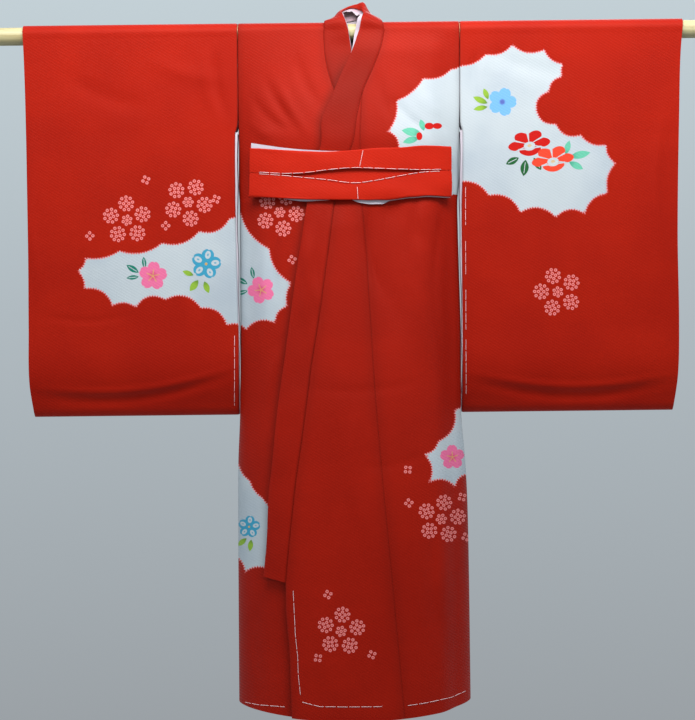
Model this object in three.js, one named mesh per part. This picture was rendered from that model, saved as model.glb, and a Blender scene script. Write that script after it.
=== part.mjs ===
// Baby ceremonial kimono hung flat on a round display pole, in millimetres.
// The origin is the middle of the pole's axis under the neck. X runs along the pole,
// the garment's front faces -Y and Z points up. "Left" and "right" are the wearer's.
import * as THREE from 'three';

// Pole and cloth
const poleRadius = 13.2;
const poleLength = 1200;
const silk = 1.5;
const collarSilk = 2.2;
const bandSilk = 1.1;
const liningSilk = 1.0;
const poleClearance = 1.0;
const seamGap = 0.3;
const halfSeam = seamGap / 2;
const foldRadius = poleRadius + poleClearance;
const shoulderAngle = 89.3;

// How far the upper front stands out over the lower one, under the collar and at the hem
const overLayer = 4.2;
const overLayerHem = 9;

// Lengths
const hemSide = 998;
const hemDipFront = 12;
const hemDipBack = 2;
const armholeDepth = 138;
const sleeveDepth = 571;
const collarEnd = 812.5;
const collarEndSlope = 0.24;
const okumiTop = -100;
const tuckTop = -246;
const tuckBottom = -254;
const tuckFade = -320;
const tuckStep = 1.8;

// The tube of the body at each height. half: half width, front and back: how far it swells,
// edge: how far the side edges stand from the middle, turn: how far round the wall turns at
// the side in degrees, shift: how far the hanging cloth has swung sideways.
const bodySections = [
  { z: 0, half: 165.2, front: 13.9, back: 13.8, edge: 13.8, turn: 30, shift: -1.5 },
  { z: -60, half: 165.0, front: 24, back: 15, edge: 13.6, turn: 40, shift: -2 },
  { z: -110, half: 164.8, front: 34, back: 16, edge: 12.6, turn: 52, shift: -2.3 },
  { z: -138, half: 164.4, front: 39, back: 17, edge: 11, turn: 60, shift: -2.6 },
  { z: -165, half: 164.0, front: 42, back: 17.5, edge: 7.5, turn: 72, shift: -2.9 },
  { z: -200, half: 163.6, front: 41, back: 18, edge: 3, turn: 84, shift: -3.4 },
  { z: -230, half: 163.5, front: 41.5, back: 18, edge: 0.15, turn: 90, shift: -3.8 },
  { z: -254, half: 161.8, front: 45, back: 18.3, edge: 0.15, turn: 90, shift: -4.4 },
  { z: -300, half: 162, front: 50, back: 19, edge: 0.15, turn: 90, shift: -4.4 },
  { z: -350, half: 162.5, front: 54, back: 20, edge: 0.15, turn: 90, shift: -4 },
  { z: -450, half: 163.7, front: 62, back: 22, edge: 0.15, turn: 90, shift: -3.4 },
  { z: -520, half: 164, front: 67.5, back: 23, edge: 0.15, turn: 90, shift: -4 },
  { z: -575, half: 164.4, front: 72, back: 24, edge: 0.15, turn: 90, shift: -4.8 },
  { z: -640, half: 168.4, front: 76, back: 25, edge: 0.15, turn: 90, shift: -4 },
  { z: -700, half: 170.2, front: 80, back: 26.2, edge: 0.15, turn: 90, shift: -3.1 },
  { z: -800, half: 171.2, front: 86, back: 28, edge: 0.15, turn: 90, shift: -2.9 },
  { z: -1000, half: 171.9, front: 95, back: 31, edge: 0.15, turn: 90, shift: -3.2 },
];

// Soft vertical folds of the skirt. x: middle, spread: half width, depth: out is positive.
const skirtFolds = [
  { x: 62, spread: 20, depth: -5, top: -240, bottom: -520 },
  { x: 108, spread: 24, depth: 3, top: -240, bottom: -560 },
  { x: 148, spread: 16, depth: -4, top: -230, bottom: -620 },
  { x: -150, spread: 14, depth: -4, top: -240, bottom: -700 },
  { x: -20, spread: 30, depth: 2.5, top: -260, bottom: -700 },
];
const backFolds = [
  { x: -90, spread: 26, depth: -4, top: -230, bottom: -640 },
  { x: -30, spread: 30, depth: 3, top: -230, bottom: -760 },
  { x: 55, spread: 24, depth: -4, top: -230, bottom: -560 },
  { x: 118, spread: 26, depth: 3, top: -230, bottom: -700 },
];

// Seams of the upper, left-hand front. seam: collar to panel, free: the collar's own edge.
const collarLines = [
  { z: 0, seam: 52.7, free: 15.6 },
  { z: -30, seam: 46.5, free: 5.8 },
  { z: -60, seam: 35, free: -8 },
  { z: -88, seam: 22.6, free: -19.8 },
  { z: -106, seam: 17, free: -27.4 },
  { z: -136, seam: 10.4, free: -39.4 },
  { z: -171, seam: 5.6, free: -40.5 },
  { z: -210, seam: -10, free: -52 },
  { z: -262, seam: -20.7, free: -60.8 },
  { z: -314, seam: -28, free: -68.7 },
  { z: -363, seam: -35.3, free: -77.3 },
  { z: -436, seam: -46.5, free: -88.2 },
  { z: -499, seam: -56.7, free: -96.7 },
  { z: -557, seam: -63.3, free: -103.8 },
  { z: -605, seam: -70, free: -109 },
  { z: -652, seam: -77.8, free: -114.3 },
  { z: -685, seam: -82.6, free: -118.7 },
  { z: -750, seam: -90, free: -121.7 },
  { z: -812.5, seam: -96, free: -127 },
];
// Front edge of the overlap panel below the collar's end
const panelEdge = [
  { z: -812.5, x: -95.8 },
  { z: -854, x: -95.6 },
  { z: -909, x: -91.2 },
  { z: -1000, x: -88.6 },
];
// Seam between the overlap panel and the front
const frontSeam = [
  { z: -100, x: 19.3 },
  { z: -174, x: 16.4 },
  { z: -277, x: 19.6 },
  { z: -378, x: 25.7 },
  { z: -498, x: 31.9 },
  { z: -600, x: 39 },
  { z: -694, x: 44.4 },
  { z: -795, x: 52.5 },
  { z: -1000, x: 69 },
];
// Seam of the lower, right-hand front beside the neck; below it mirrors the upper front
const underNeck = [
  { z: 0, seam: -37, free: -0.6 },
  { z: -30, seam: -35.6, free: 4.2 },
  { z: -60, seam: -31, free: 11.5 },
  { z: -88, seam: -22.6, free: 19.8 },
];
const underNeckEnd = -88;
// Tops of the two fronts above the shoulder line, beside the neck
const neckSideLeft = 53.5;
const neckSideRight = -38;
// The collar round the back of the neck, from the left front to the right one. Its section
// runs from the sewn edge (s) towards the bend (b) and over to the free edge (f).
const neckRing = [
  { sx: 49.5, sy: -12.8, sz: 10.6, bx: 33.5, by: -16, bz: 14.5, fx: 17.3, fy: -17.5, fz: 16 },
  { sx: 48.5, sy: -1.5, sz: 16.8, bx: 33.4, by: -8, bz: 24, fx: 20, fy: -13.5, fz: 24.5 },
  { sx: 47.2, sy: 4.6, sz: 15.8, bx: 28.6, by: -4, bz: 29.6, fx: 20.7, fy: -11, fz: 26.8 },
  { sx: 45, sy: 9.8, sz: 13.8, bx: 23.1, by: 0, bz: 36.4, fx: 20.8, fy: -8.5, fz: 28.5 },
  { sx: 37.5, sy: 14.2, sz: 9, bx: 21.7, by: 9, bz: 54, fx: 20, fy: -2.5, fz: 31.3 },
  { sx: 27, sy: 14.8, sz: 7.6, bx: 21, by: 14, bz: 68, fx: 17.5, fy: 4, fz: 34 },
  { sx: 14, sy: 15.1, sz: 7.1, bx: 10, by: 19, bz: 60, fx: 12, fy: 8.5, fz: 37 },
  { sx: 1, sy: 15.1, sz: 7.1, bx: -1, by: 19.5, bz: 50.4, fx: 3.5, fy: 10, fz: 38.8 },
  { sx: -12, sy: 15.1, sz: 7.1, bx: -11, by: 16.5, bz: 44, fx: -3.8, fy: 8, fz: 36.5 },
  { sx: -24.5, sy: 14.6, sz: 8, bx: -19, by: 11, bz: 36.5, fx: -8.7, fy: 3.5, fz: 33.5 },
  { sx: -33, sy: 12, sz: 11.6, bx: -21.5, by: 4, bz: 24.8, fx: -10.8, fy: -3.5, fz: 30.5 },
  { sx: -36.3, sy: 3, sz: 16.6, bx: -27.5, by: -4.5, bz: 19.5, fx: -9.5, fy: -10, fz: 25 },
  { sx: -37.5, sy: -12, sz: 12.6, bx: -24.5, by: -16, bz: 16.5, fx: -6, fy: -16.5, fz: 15 },
];

// The folded waist band. top and bottom: its outline, upper and lower: the flaps' free edges.
const bandLines = [
  { x: -141.5, top: -175.5, upper: -211.9, lower: -212.6, bottom: -248.2, lift: 0 },
  { x: -95, top: -180.4, upper: -216.6, lower: -217.9, bottom: -252.6, lift: 0.6 },
  { x: -62, top: -183, upper: -216.4, lower: -222.4, bottom: -255.2, lift: 1.4 },
  { x: -31, top: -184.4, upper: -212.8, lower: -226.4, bottom: -256.6, lift: 2.4 },
  { x: 8, top: -182.6, upper: -210.2, lower: -232.6, bottom: -257, lift: 3 },
  { x: 39, top: -179.8, upper: -211.3, lower: -228.2, bottom: -256.5, lift: 2.6 },
  { x: 73, top: -179, upper: -212.5, lower: -221, bottom: -254.6, lift: 1.6 },
  { x: 106, top: -176, upper: -213, lower: -214.9, bottom: -252, lift: 0.6 },
  { x: 146.5, top: -176, upper: -211.3, lower: -212, bottom: -249.6, lift: 0 },
];
const bandTop = -180;
const bandLiningLayer = 7.6;
const bandLayer = 10.1;
const bandFold = 0.95;
const bandColumns = 22;
// How far the band's white lining looks out above and below it
const bandLiningLines = [
  { x: -141.5, above: 8, below: -1.5 },
  { x: -110, above: 5, below: -1.5 },
  { x: -70, above: 2.8, below: 2.6 },
  { x: -40, above: 2.2, below: 1 },
  { x: 0, above: 0, below: -1.5 },
  { x: 16, above: -1.5, below: 4 },
  { x: 48, above: -1.5, below: 6 },
  { x: 60, above: -1.5, below: 1.6 },
  { x: 146.5, above: -1.5, below: 1.6 },
];

// Outer edges of the two sleeves at the cuffs
const cuffLines = [
  { z: 15, right: -488, left: 498 },
  { z: -40, right: -486, left: 493 },
  { z: -110, right: -484.5, left: 490.5 },
  { z: -300, right: -483, left: 486 },
  { z: -440, right: -484, left: 487 },
  { z: -520, right: -484.5, left: 485 },
  { z: -571, right: -480, left: 480 },
];
// Inner edges of the sleeves, as a distance from the body's middle, and their open gap
const sleeveSections = [
  { z: 15, inner: 166.5, gap: 13.8, swing: 0 },
  { z: -138, inner: 166.5, gap: 13.4, swing: 0 },
  { z: -152, inner: 169.6, gap: 13.2, swing: 0 },
  { z: -300, inner: 169.8, gap: 11, swing: -1.5 },
  { z: -440, inner: 169, gap: 8.6, swing: -2 },
  { z: -512, inner: 168, gap: 7.2, swing: -1 },
  { z: -571, inner: 167.2, gap: 5, swing: 13.5 },
];
const liningStartDrop = 10;
const liningEdge = 166.3;
const liningReach = 206;

// Smooth curve through a table's rows, which run down from the highest z
function along(table, z, name, key = 'z') {
  const falling = table[0][key] > table[table.length - 1][key];
  const at = falling ? -z : z;
  const place = (row) => (falling ? -row[key] : row[key]);
  const last = table.length - 1;
  if (at <= place(table[0])) return table[0][name];
  if (at >= place(table[last])) return table[last][name];
  let i = 0;
  while (place(table[i + 1]) < at) i += 1;
  const slope = (k) => {
    const lower = Math.max(k - 1, 0);
    const upper = Math.min(k + 1, last);
    return (table[upper][name] - table[lower][name]) / (place(table[upper]) - place(table[lower]));
  };
  const span = place(table[i + 1]) - place(table[i]);
  const s = (at - place(table[i])) / span;
  const rise = s * s * (3 - 2 * s);
  const start = s * (1 - s) * (1 - s) * span * slope(i);
  const finish = s * s * (1 - s) * span * slope(i + 1);
  return table[i][name] + (table[i + 1][name] - table[i][name]) * rise + start - finish;
}

const smooth = (from, to, value) => THREE.MathUtils.smoothstep(value, from, to);

function foldRelief(folds, x, z) {
  let relief = 0;
  for (const fold of folds) {
    const fade = 1 - smooth(-fold.bottom - 160, -fold.bottom, -z);
    const open = smooth(-fold.top, -fold.top + 40, -z);
    relief += fold.depth * Math.exp(-(((x - fold.x) / fold.spread) ** 2)) * open * fade;
  }
  return relief;
}

// How much of the tuck step there is at a height: under the band the skirt stands out in a
// sharp step, while the band itself goes over it in a soft curve
const skirtTuck = (z) => smooth(-tuckTop, -tuckBottom, -z) * (1 - smooth(-tuckBottom, -tuckFade, -z));
const bandTuck = (z) => smooth(-bandTop, -tuckBottom, -z);

// A point of the body's cloth. face is -1 for the front and 1 for the back, turn runs from
// -1 at the right-hand side edge to 1 at the left-hand one, and h is the height, which above
// zero is the length of cloth laid round the pole.
function bodyPoint(face, turn, h, tuck = skirtTuck) {
  const z = Math.min(h, 0);
  const half = along(bodySections, z, 'half');
  const swell = along(bodySections, z, face < 0 ? 'front' : 'back');
  const edge = along(bodySections, z, 'edge');
  const limit = THREE.MathUtils.degToRad(along(bodySections, z, 'turn'));
  const angle = turn * limit;
  const x = (half * Math.sin(angle)) / Math.sin(limit);
  const round = (Math.cos(angle) - Math.cos(limit)) / (1 - Math.cos(limit));
  let depth = edge + (swell - edge) * round;
  depth += foldRelief(face < 0 ? skirtFolds : backFolds, x, z) * Math.min(1, 2 * (1 - Math.abs(turn)));
  depth += tuckStep * tuck(z) * Math.min(1, 3 * (1 - Math.abs(turn)));
  const wrap = Math.max(h, 0) / foldRadius;
  const shift = along(bodySections, z, 'shift');
  const rise = foldRadius * Math.sin(wrap);
  return new THREE.Vector3(x + shift, face * depth * Math.cos(wrap), z + rise);
}

// The turn at which the body's cloth is x away from its middle at height h
function turnAt(x, h) {
  const z = Math.min(h, 0);
  const limit = THREE.MathUtils.degToRad(along(bodySections, z, 'turn'));
  const sine = (x / along(bodySections, z, 'half')) * Math.sin(limit);
  return Math.asin(THREE.MathUtils.clamp(sine, -1, 1)) / limit;
}

// The body's point and outward direction, moved out by a layer's distance
function bodyLayer(face, turn, h, distance, tuck = skirtTuck) {
  const step = 0.004;
  const here = bodyPoint(face, turn, h, tuck);
  const across = bodyPoint(face, turn + step, h, tuck).sub(bodyPoint(face, turn - step, h, tuck));
  const up = bodyPoint(face, turn, h + 1, tuck).sub(bodyPoint(face, turn, h - 1, tuck));
  const out = across.cross(up).normalize().multiplyScalar(-face);
  return here.addScaledVector(out, distance);
}

// Height of the hem at a turn round the body
function hemHeight(face, turn) {
  const dip = face < 0 ? hemDipFront : hemDipBack;
  return -hemSide - dip * Math.cos((turn * Math.PI) / 2) ** 2;
}

// A wall from two grids of points, inner and outer, closed along its four edges.
// loop joins the first and last rows, as in a tube.
function wall(columns, rows, inside, outside, loop = false) {
  const inner = [];
  const outer = [];
  for (const v of rows) {
    for (let i = 0; i <= columns; i += 1) {
      inner.push(inside(i / columns, v));
      outer.push(outside(i / columns, v));
    }
  }
  const width = columns + 1;
  const total = inner.length;
  const points = [...inner, ...outer];
  const faces = [];
  const quad = (a, b, c, d) => faces.push(a, b, c, a, c, d);
  const last = loop ? rows.length : rows.length - 1;
  for (let j = 0; j < last; j += 1) {
    const next = (j + 1) % rows.length;
    for (let i = 0; i < columns; i += 1) {
      const a = j * width + i;
      const b = j * width + i + 1;
      const c = next * width + i + 1;
      const d = next * width + i;
      quad(a, b, c, d);
      faces.push(c + total, b + total, a + total, d + total, c + total, a + total);
    }
    const left = j * width;
    const leftNext = next * width;
    quad(left, leftNext, leftNext + total, left + total);
    quad(left + columns + total, leftNext + columns + total, leftNext + columns, left + columns);
  }
  if (!loop) {
    const end = (rows.length - 1) * width;
    for (let i = 0; i < columns; i += 1) {
      quad(i + total, i + 1 + total, i + 1, i);
      quad(end + i, end + i + 1, end + i + 1 + total, end + i + total);
    }
  }
  const geometry = new THREE.BufferGeometry();
  geometry.setAttribute('position', new THREE.Float32BufferAttribute(points.flatMap((p) => p.toArray()), 3));
  geometry.setIndex(faces);
  if (signedVolume(points, faces) < 0) geometry.setIndex(faces.reverse());
  geometry.computeVertexNormals();
  return geometry;
}

function signedVolume(points, faces) {
  let volume = 0;
  for (let i = 0; i < faces.length; i += 3) {
    const [a, b, c] = [points[faces[i]], points[faces[i + 1]], points[faces[i + 2]]];
    volume += a.dot(new THREE.Vector3().crossVectors(b, c)) / 6;
  }
  return volume;
}

const steps = (count) => Array.from({ length: count + 1 }, (_, i) => i / count);

const group = new THREE.Group();
const redSilk = { color: 0xc8281c, roughness: 0.5, metalness: 0 };
const whiteSilk = { color: 0xf2e8ec, roughness: 0.55, metalness: 0 };
const paleWood = { color: 0xd9c99a, roughness: 0.6, metalness: 0 };

function add(name, geometry, finish) {
  const mesh = new THREE.Mesh(geometry, new THREE.MeshStandardMaterial(finish));
  mesh.name = name;
  group.add(mesh);
}

// Rows shared by every panel of the body: over the shoulder, then down to the hem
const shoulderRows = [shoulderAngle, 60, 30].map((a) => THREE.MathUtils.degToRad(a) * foldRadius);
const bodyRows = [0, -25, -50, -75, -100, -120, -138, -155, -172, -190, -210, -230, tuckTop, tuckBottom, -275,
  -310, -360, -420, -490, -565, -620, -670, -720, -770, -collarEnd, -860, -930, -1000];
const panelRows = [...shoulderRows, ...bodyRows];
const nominalHem = -1000;
const stretchFrom = -815;
const okumiRows = bodyRows.filter((h) => h <= okumiTop);

// Height on a panel for a row's nominal height: the lowest rows stretch to the curved hem
function reach(h, hem) {
  if (h >= stretchFrom) return h;
  return stretchFrom + ((h - stretchFrom) * (hem - stretchFrom)) / (nominalHem - stretchFrom);
}

// Panel of the body between two seam lines, in layers given by layer(x, h)
function bodyPanel(face, columns, rows, leftTurn, rightTurn, layer) {
  const at = (distance) => (u, h) => {
    const turn = THREE.MathUtils.lerp(leftTurn(h), rightTurn(h), u);
    const height = reach(h, hemHeight(face, turn));
    return bodyLayer(face, turn, height, layer(turn, height) + distance);
  };
  return wall(columns, rows, at(0), at(silk));
}

// How far the left-hand front stands out over the right-hand one. It rises from nothing at
// the shoulder, grows towards the hem and comes back to the body before the left side.
const overRise = [0, 36];
const overGrowth = [300, 800];
const overEnd = [118, 152];
function overDistance(turn, h) {
  const x = bodyPoint(-1, turn, h).x - along(bodySections, Math.min(h, 0), 'shift');
  const stand = THREE.MathUtils.lerp(overLayer, overLayerHem, smooth(...overGrowth, -h));
  return stand * smooth(...overRise, -h) * (1 - smooth(...overEnd, x));
}

function overSeam(z) {
  return along(collarLines, z, 'seam');
}

function underSeam(z) {
  return z > underNeckEnd ? along(underNeck, z, 'seam') : -overSeam(z);
}

function okumiEdge(z) {
  return z > -collarEnd ? overSeam(z) + halfSeam : along(panelEdge, z, 'x');
}

function frontEdgeLeft(h) {
  if (h > 0) return neckSideLeft;
  return h > okumiTop ? overSeam(h) + halfSeam : along(frontSeam, h, 'x') + halfSeam;
}

function frontEdgeRight(h) {
  if (h > 0) return neckSideRight;
  return h > okumiTop ? underSeam(h) - halfSeam : -along(frontSeam, h, 'x') - halfSeam;
}

const flatLayer = () => 0;

// Wearer's left front, the upper one, from its seam to the side
add('front_left', bodyPanel(-1, 9, panelRows, (h) => turnAt(frontEdgeLeft(h), h), () => 1,
  overDistance), redSilk);

// Wearer's right front, the lower one
add('front_right', bodyPanel(-1, 9, panelRows, () => -1, (h) => turnAt(frontEdgeRight(h), h),
  flatLayer), redSilk);

// Overlap panels, long wedges between the collar and each front
add('okumi_left', bodyPanel(-1, 6, okumiRows, (h) => turnAt(okumiEdge(h), h),
  (h) => turnAt(along(frontSeam, h, 'x') - halfSeam, h), overDistance), redSilk);
add('okumi_right', bodyPanel(-1, 6, okumiRows, (h) => turnAt(-along(frontSeam, h, 'x') + halfSeam, h),
  (h) => turnAt(-okumiEdge(h), h), flatLayer), redSilk);

// Back, one cloth width, cut away behind the neck
const neckCutAngle = 28;
const neckCut = THREE.MathUtils.degToRad(neckCutAngle) * foldRadius;
const neckSlope = 8;
const neckCutRight = -46;
const neckCutLeft = 54;
function backTop(x) {
  const rightSide = smooth(neckCutRight, neckCutRight + neckSlope, x);
  const leftSide = 1 - smooth(neckCutLeft - neckSlope, neckCutLeft, x);
  const open = rightSide * leftSide;
  return shoulderRows[0] + (neckCut - shoulderRows[0]) * open;
}
const backColumns = [-165, -150, -125, -95, -68, -48, -46, -44, -42, -40, -38, -14, 4, 26,
  46, 48, 50, 52, 54, 72, 97, 125, 150, 165];
function backWall() {
  const at = (distance) => (u, h) => {
    const place = backColumns[Math.round(u * (backColumns.length - 1))];
    const share = place / backColumns[backColumns.length - 1];
    const turn = turnAt(share * along(bodySections, Math.min(h, 0), 'half'), h);
    const height = h > 0 ? (h / shoulderRows[0]) * backTop(place) : reach(h, hemHeight(1, turn));
    return bodyLayer(1, turn, height, distance);
  };
  return wall(backColumns.length - 1, panelRows, at(0), at(silk));
}
add('back', backWall(), redSilk);

// Collar, one folded band: up the left front, round the neck, down the right front
const collarHeights = bodyRows.filter((h) => h >= -collarEnd).reverse();
const neckLean = 3.4;
const leanFrom = { over: [-45, -5], under: [-25, 0] };
const collarColumns = 6;
function collarRow(side, z, w, lift) {
  const over = side > 0;
  const table = over || z <= underNeckEnd ? collarLines : underNeck;
  const sign = !over && z <= underNeckEnd ? -1 : 1;
  const seam = sign * along(table, z, 'seam') - side * halfSeam;
  const free = sign * along(table, z, 'free');
  const x = THREE.MathUtils.lerp(seam, free, w);
  const endSlope = z < -collarEnd + 1 ? collarEndSlope * Math.abs(x - seam) : 0;
  const turn = turnAt(x, z + endSlope);
  const lean = neckLean * w * smooth(...(over ? leanFrom.over : leanFrom.under), z);
  return bodyLayer(-1, turn, z + endSlope, (over ? overDistance(turn, z) : 0) + lean + lift);
}

// The collar's point at station j along it and w across it, moved out by a distance
const stationCount = 2 * collarHeights.length + neckRing.length;
function collarStation(j, w, lift = 0) {
  const ringStart = collarHeights.length;
  const ringEnd = ringStart + neckRing.length;
  if (j < ringStart) return collarRow(1, collarHeights[j], w, lift);
  if (j >= ringEnd) return collarRow(-1, collarHeights[stationCount - 1 - j], w, lift);
  const row = neckRing[j - ringStart];
  const place = (p) => new THREE.Vector3(row[`${p}x`], row[`${p}y`], row[`${p}z`]);
  const [sewn, bend, free] = [place('s'), place('b'), place('f')];
  const point = new THREE.Vector3()
    .addScaledVector(sewn, (1 - w) ** 2)
    .addScaledVector(bend, 2 * w * (1 - w))
    .addScaledVector(free, w ** 2);
  if (lift === 0) return point;
  const lengthwise = collarStation(j + 1, w).sub(collarStation(j - 1, w));
  const crosswise = bend.clone().sub(sewn).multiplyScalar(1 - w).addScaledVector(free.clone().sub(bend), w);
  return point.addScaledVector(lengthwise.cross(crosswise).normalize(), lift);
}
const stationRows = [...Array(stationCount).keys()];
const collarWall = (distance) => (u, j) => collarStation(j, u, distance);
add('collar', wall(collarColumns, stationRows, collarWall(0), collarWall(collarSilk)), redSilk);

// White lining of the collar, on its inside round the neck. liningPeeks: how far it looks out
// past the collar's free edge at each station, liningFrom: where across the collar it begins,
// liningShares: where its columns lie between there and the free edge, liningGaps: how far it
// lies behind the collar.
const liningPeeks = [-3, 2.2, 7, 8, 6, 4, 2.5, 2, 2.5, 2.5, 2.5, 2.2, 1.5, 1, 0.8, 0.8, 0.8, 0.5, -3];
const liningFrontRows = 3;
const liningFrom = { front: 0.6, ring: 0.17 };
const liningShares = [0, 0.2, 0.4, 0.6, 0.75];
const liningColumns = liningShares.length + 1;
const liningStart = collarHeights.length - 3;
const liningGaps = { front: 0.6, ring: 1.0 };
function collarLiningWall() {
  const at = (distance) => (u, k) => {
    const j = liningStart + k;
    const onFront = k < liningFrontRows || k >= liningPeeks.length - liningFrontRows;
    const place = onFront ? 'front' : 'ring';
    const width = collarStation(j, 0.5).distanceTo(collarStation(j, 1)) * 2;
    const inner = liningShares.map((share) => THREE.MathUtils.lerp(liningFrom[place], 1, share));
    const edge = 1 + liningPeeks[k] / width;
    const across = [...inner, Math.min(1, (inner[inner.length - 1] + edge) / 2), edge];
    return collarStation(j, across[Math.round(u * liningColumns)], distance - liningGaps[place]);
  };
  return wall(liningColumns, [...liningPeeks.keys()], at(-liningSilk), at(0));
}
add('collar_lining', collarLiningWall(), whiteSilk);

// Sleeves: one cloth folded over the pole and joined at the bottom, open at both ends
const sleeveHeights = [-30, -75, -138, -152, -220, -300, -380, -450, -500, -530, -555];
const sleeveLoop = [];
for (const angle of [0, 30, 60, 90, 120, 150]) sleeveLoop.push({ part: 'top', angle });
for (const z of [0, ...sleeveHeights]) sleeveLoop.push({ part: 'back', z });
for (const angle of [30, 90, 150]) sleeveLoop.push({ part: 'bottom', angle });
for (const z of [...sleeveHeights].reverse()) sleeveLoop.push({ part: 'front', z });

// Place in the loop's own plane: y and z, and the outward direction
function sleevePlace(station) {
  if (station.part === 'top') {
    const a = THREE.MathUtils.degToRad(station.angle);
    const out = [-Math.cos(a), Math.sin(a)];
    return { y: foldRadius * out[0], z: foldRadius * out[1], out };
  }
  const low = sleeveHeights[sleeveHeights.length - 1];
  if (station.part === 'bottom') {
    const a = THREE.MathUtils.degToRad(station.angle);
    const gap = along(sleeveSections, low, 'gap');
    const middle = along(sleeveSections, low, 'swing');
    const drop = sleeveDepth + low - silk;
    const out = [Math.cos(a), -Math.sin(a)];
    return { y: middle + gap * Math.cos(a) + 0.25 * drop * Math.sin(a), z: low - drop * Math.sin(a), out };
  }
  const side = station.part === 'front' ? -1 : 1;
  const line = (z) => along(sleeveSections, z, 'swing') + side * along(sleeveSections, z, 'gap');
  const slope = (line(station.z + 4) - line(station.z - 4)) / 8;
  const size = Math.hypot(1, slope);
  return { y: line(station.z), z: station.z, out: [side / size, (-side * slope) / size] };
}

function sleeveWall(side) {
  const name = side > 0 ? 'left' : 'right';
  const at = (distance) => (u, k) => {
    const station = sleeveLoop[k];
    const place = sleevePlace(station);
    const shift = along(bodySections, Math.min(place.z, 0), 'shift');
    const inner = side * along(sleeveSections, place.z, 'inner') + shift;
    const outer = along(cuffLines, place.z, name);
    const x = THREE.MathUtils.lerp(inner, outer, u);
    return new THREE.Vector3(x, place.y + place.out[0] * distance, place.z + place.out[1] * distance);
  };
  return wall(8, [...sleeveLoop.keys()], at(0), at(silk), true);
}

// Sleeve lining: the strip that shows along the open inner edge
function sleeveLiningWall(side) {
  const shown = sleeveLoop.map((s, k) => k).filter((k) => {
    const station = sleeveLoop[k];
    const belowArmhole = station.z <= -armholeDepth - liningStartDrop;
    return station.part === 'bottom' || (station.part !== 'top' && belowArmhole);
  });
  const at = (distance) => (u, k) => {
    const place = sleevePlace(sleeveLoop[k]);
    const shift = along(bodySections, Math.min(place.z, 0), 'shift');
    const x = side * THREE.MathUtils.lerp(liningEdge, liningReach, u) + shift;
    return new THREE.Vector3(x, place.y + place.out[0] * distance, place.z + place.out[1] * distance);
  };
  return wall(3, shown, at(-seamGap - liningSilk), at(-seamGap));
}

for (const [name, side] of [['right', -1], ['left', 1]]) {
  add(`sleeve_${name}`, sleeveWall(side), redSilk);
  add(`sleeve_lining_${name}`, sleeveLiningWall(side), whiteSilk);
}

// Waist band of folded ties: one cloth whose long edges are folded to the front middle
function bandPoint(u, v) {
  const x = THREE.MathUtils.lerp(bandLines[0].x, bandLines[bandLines.length - 1].x, u);
  const line = (name) => along(bandLines, x, name, 'x');
  const top = line('top');
  const bottom = line('bottom');
  const lift = line('lift');
  const front = bandLayer + 2 * bandFold;
  const path = [
    [line('upper'), front + lift],
    [(line('upper') + top) / 2, front + lift / 2],
    [top - 2, front],
    [top - 0.6, bandLayer + 1.7 * bandFold],
    [top, bandLayer + bandFold],
    [top - 0.6, bandLayer + 0.3 * bandFold],
    [top - 2, bandLayer],
    [0.75 * top + 0.25 * bottom, bandLayer],
    [(top + bottom) / 2, bandLayer],
    [0.25 * top + 0.75 * bottom, bandLayer],
    [bottom + 2, bandLayer],
    [bottom + 0.6, bandLayer + 0.3 * bandFold],
    [bottom, bandLayer + bandFold],
    [bottom + 0.6, bandLayer + 1.7 * bandFold],
    [bottom + 2, front],
    [(line('lower') + bottom) / 2, front + lift / 2],
    [line('lower'), front + lift],
  ];
  const k = Math.round(v * (path.length - 1));
  return bandAt(x, path[k][0], path[k][1]);
}
function bandAt(x, z, distance) {
  return bodyLayer(-1, turnAt(x, z), z, distance, bandTuck);
}
const bandPathRows = [...Array(17).keys()].map((k) => k / 16);
function bandWall() {
  const grid = bandPathRows.map((v) => steps(bandColumns).map((u) => bandPoint(u, v)));
  const rows = grid.length;
  const at = (distance) => (u, v) => {
    const i = Math.round(u * bandColumns);
    const j = Math.round(v * (rows - 1));
    const across = grid[j][Math.min(i + 1, bandColumns)].clone().sub(grid[j][Math.max(i - 1, 0)]);
    const down = grid[Math.min(j + 1, rows - 1)][i].clone().sub(grid[Math.max(j - 1, 0)][i]);
    return grid[j][i].clone().addScaledVector(down.cross(across).normalize(), distance);
  };
  return wall(bandColumns, bandPathRows, at(-bandSilk / 2), at(bandSilk / 2));
}
add('waist_band', bandWall(), redSilk);

// White lining of the waist band, behind it, looking out along both long edges
function bandLiningWall() {
  const at = (distance) => (u, k) => {
    const x = THREE.MathUtils.lerp(bandLines[0].x, bandLines[bandLines.length - 1].x, u);
    const top = along(bandLines, x, 'top', 'x');
    const bottom = along(bandLines, x, 'bottom', 'x');
    const heights = [
      top + along(bandLiningLines, x, 'above', 'x'),
      top - 2,
      0.75 * top + 0.25 * bottom,
      (top + bottom) / 2,
      0.25 * top + 0.75 * bottom,
      bottom + 2,
      bottom - along(bandLiningLines, x, 'below', 'x'),
    ];
    return bandAt(x, heights[k], bandLiningLayer + distance);
  };
  return wall(bandColumns, [0, 1, 2, 3, 4, 5, 6], at(0), at(liningSilk));
}
add('waist_band_lining', bandLiningWall(), whiteSilk);

// Display pole through both sleeves and the body
const pole = new THREE.CylinderGeometry(poleRadius, poleRadius, poleLength, 32);
pole.rotateZ(Math.PI / 2);
add('pole', pole, paleWood);

export default group;
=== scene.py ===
import math

import bpy
import numpy as np
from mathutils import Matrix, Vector
from mathutils.bvhtree import BVHTree


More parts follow.
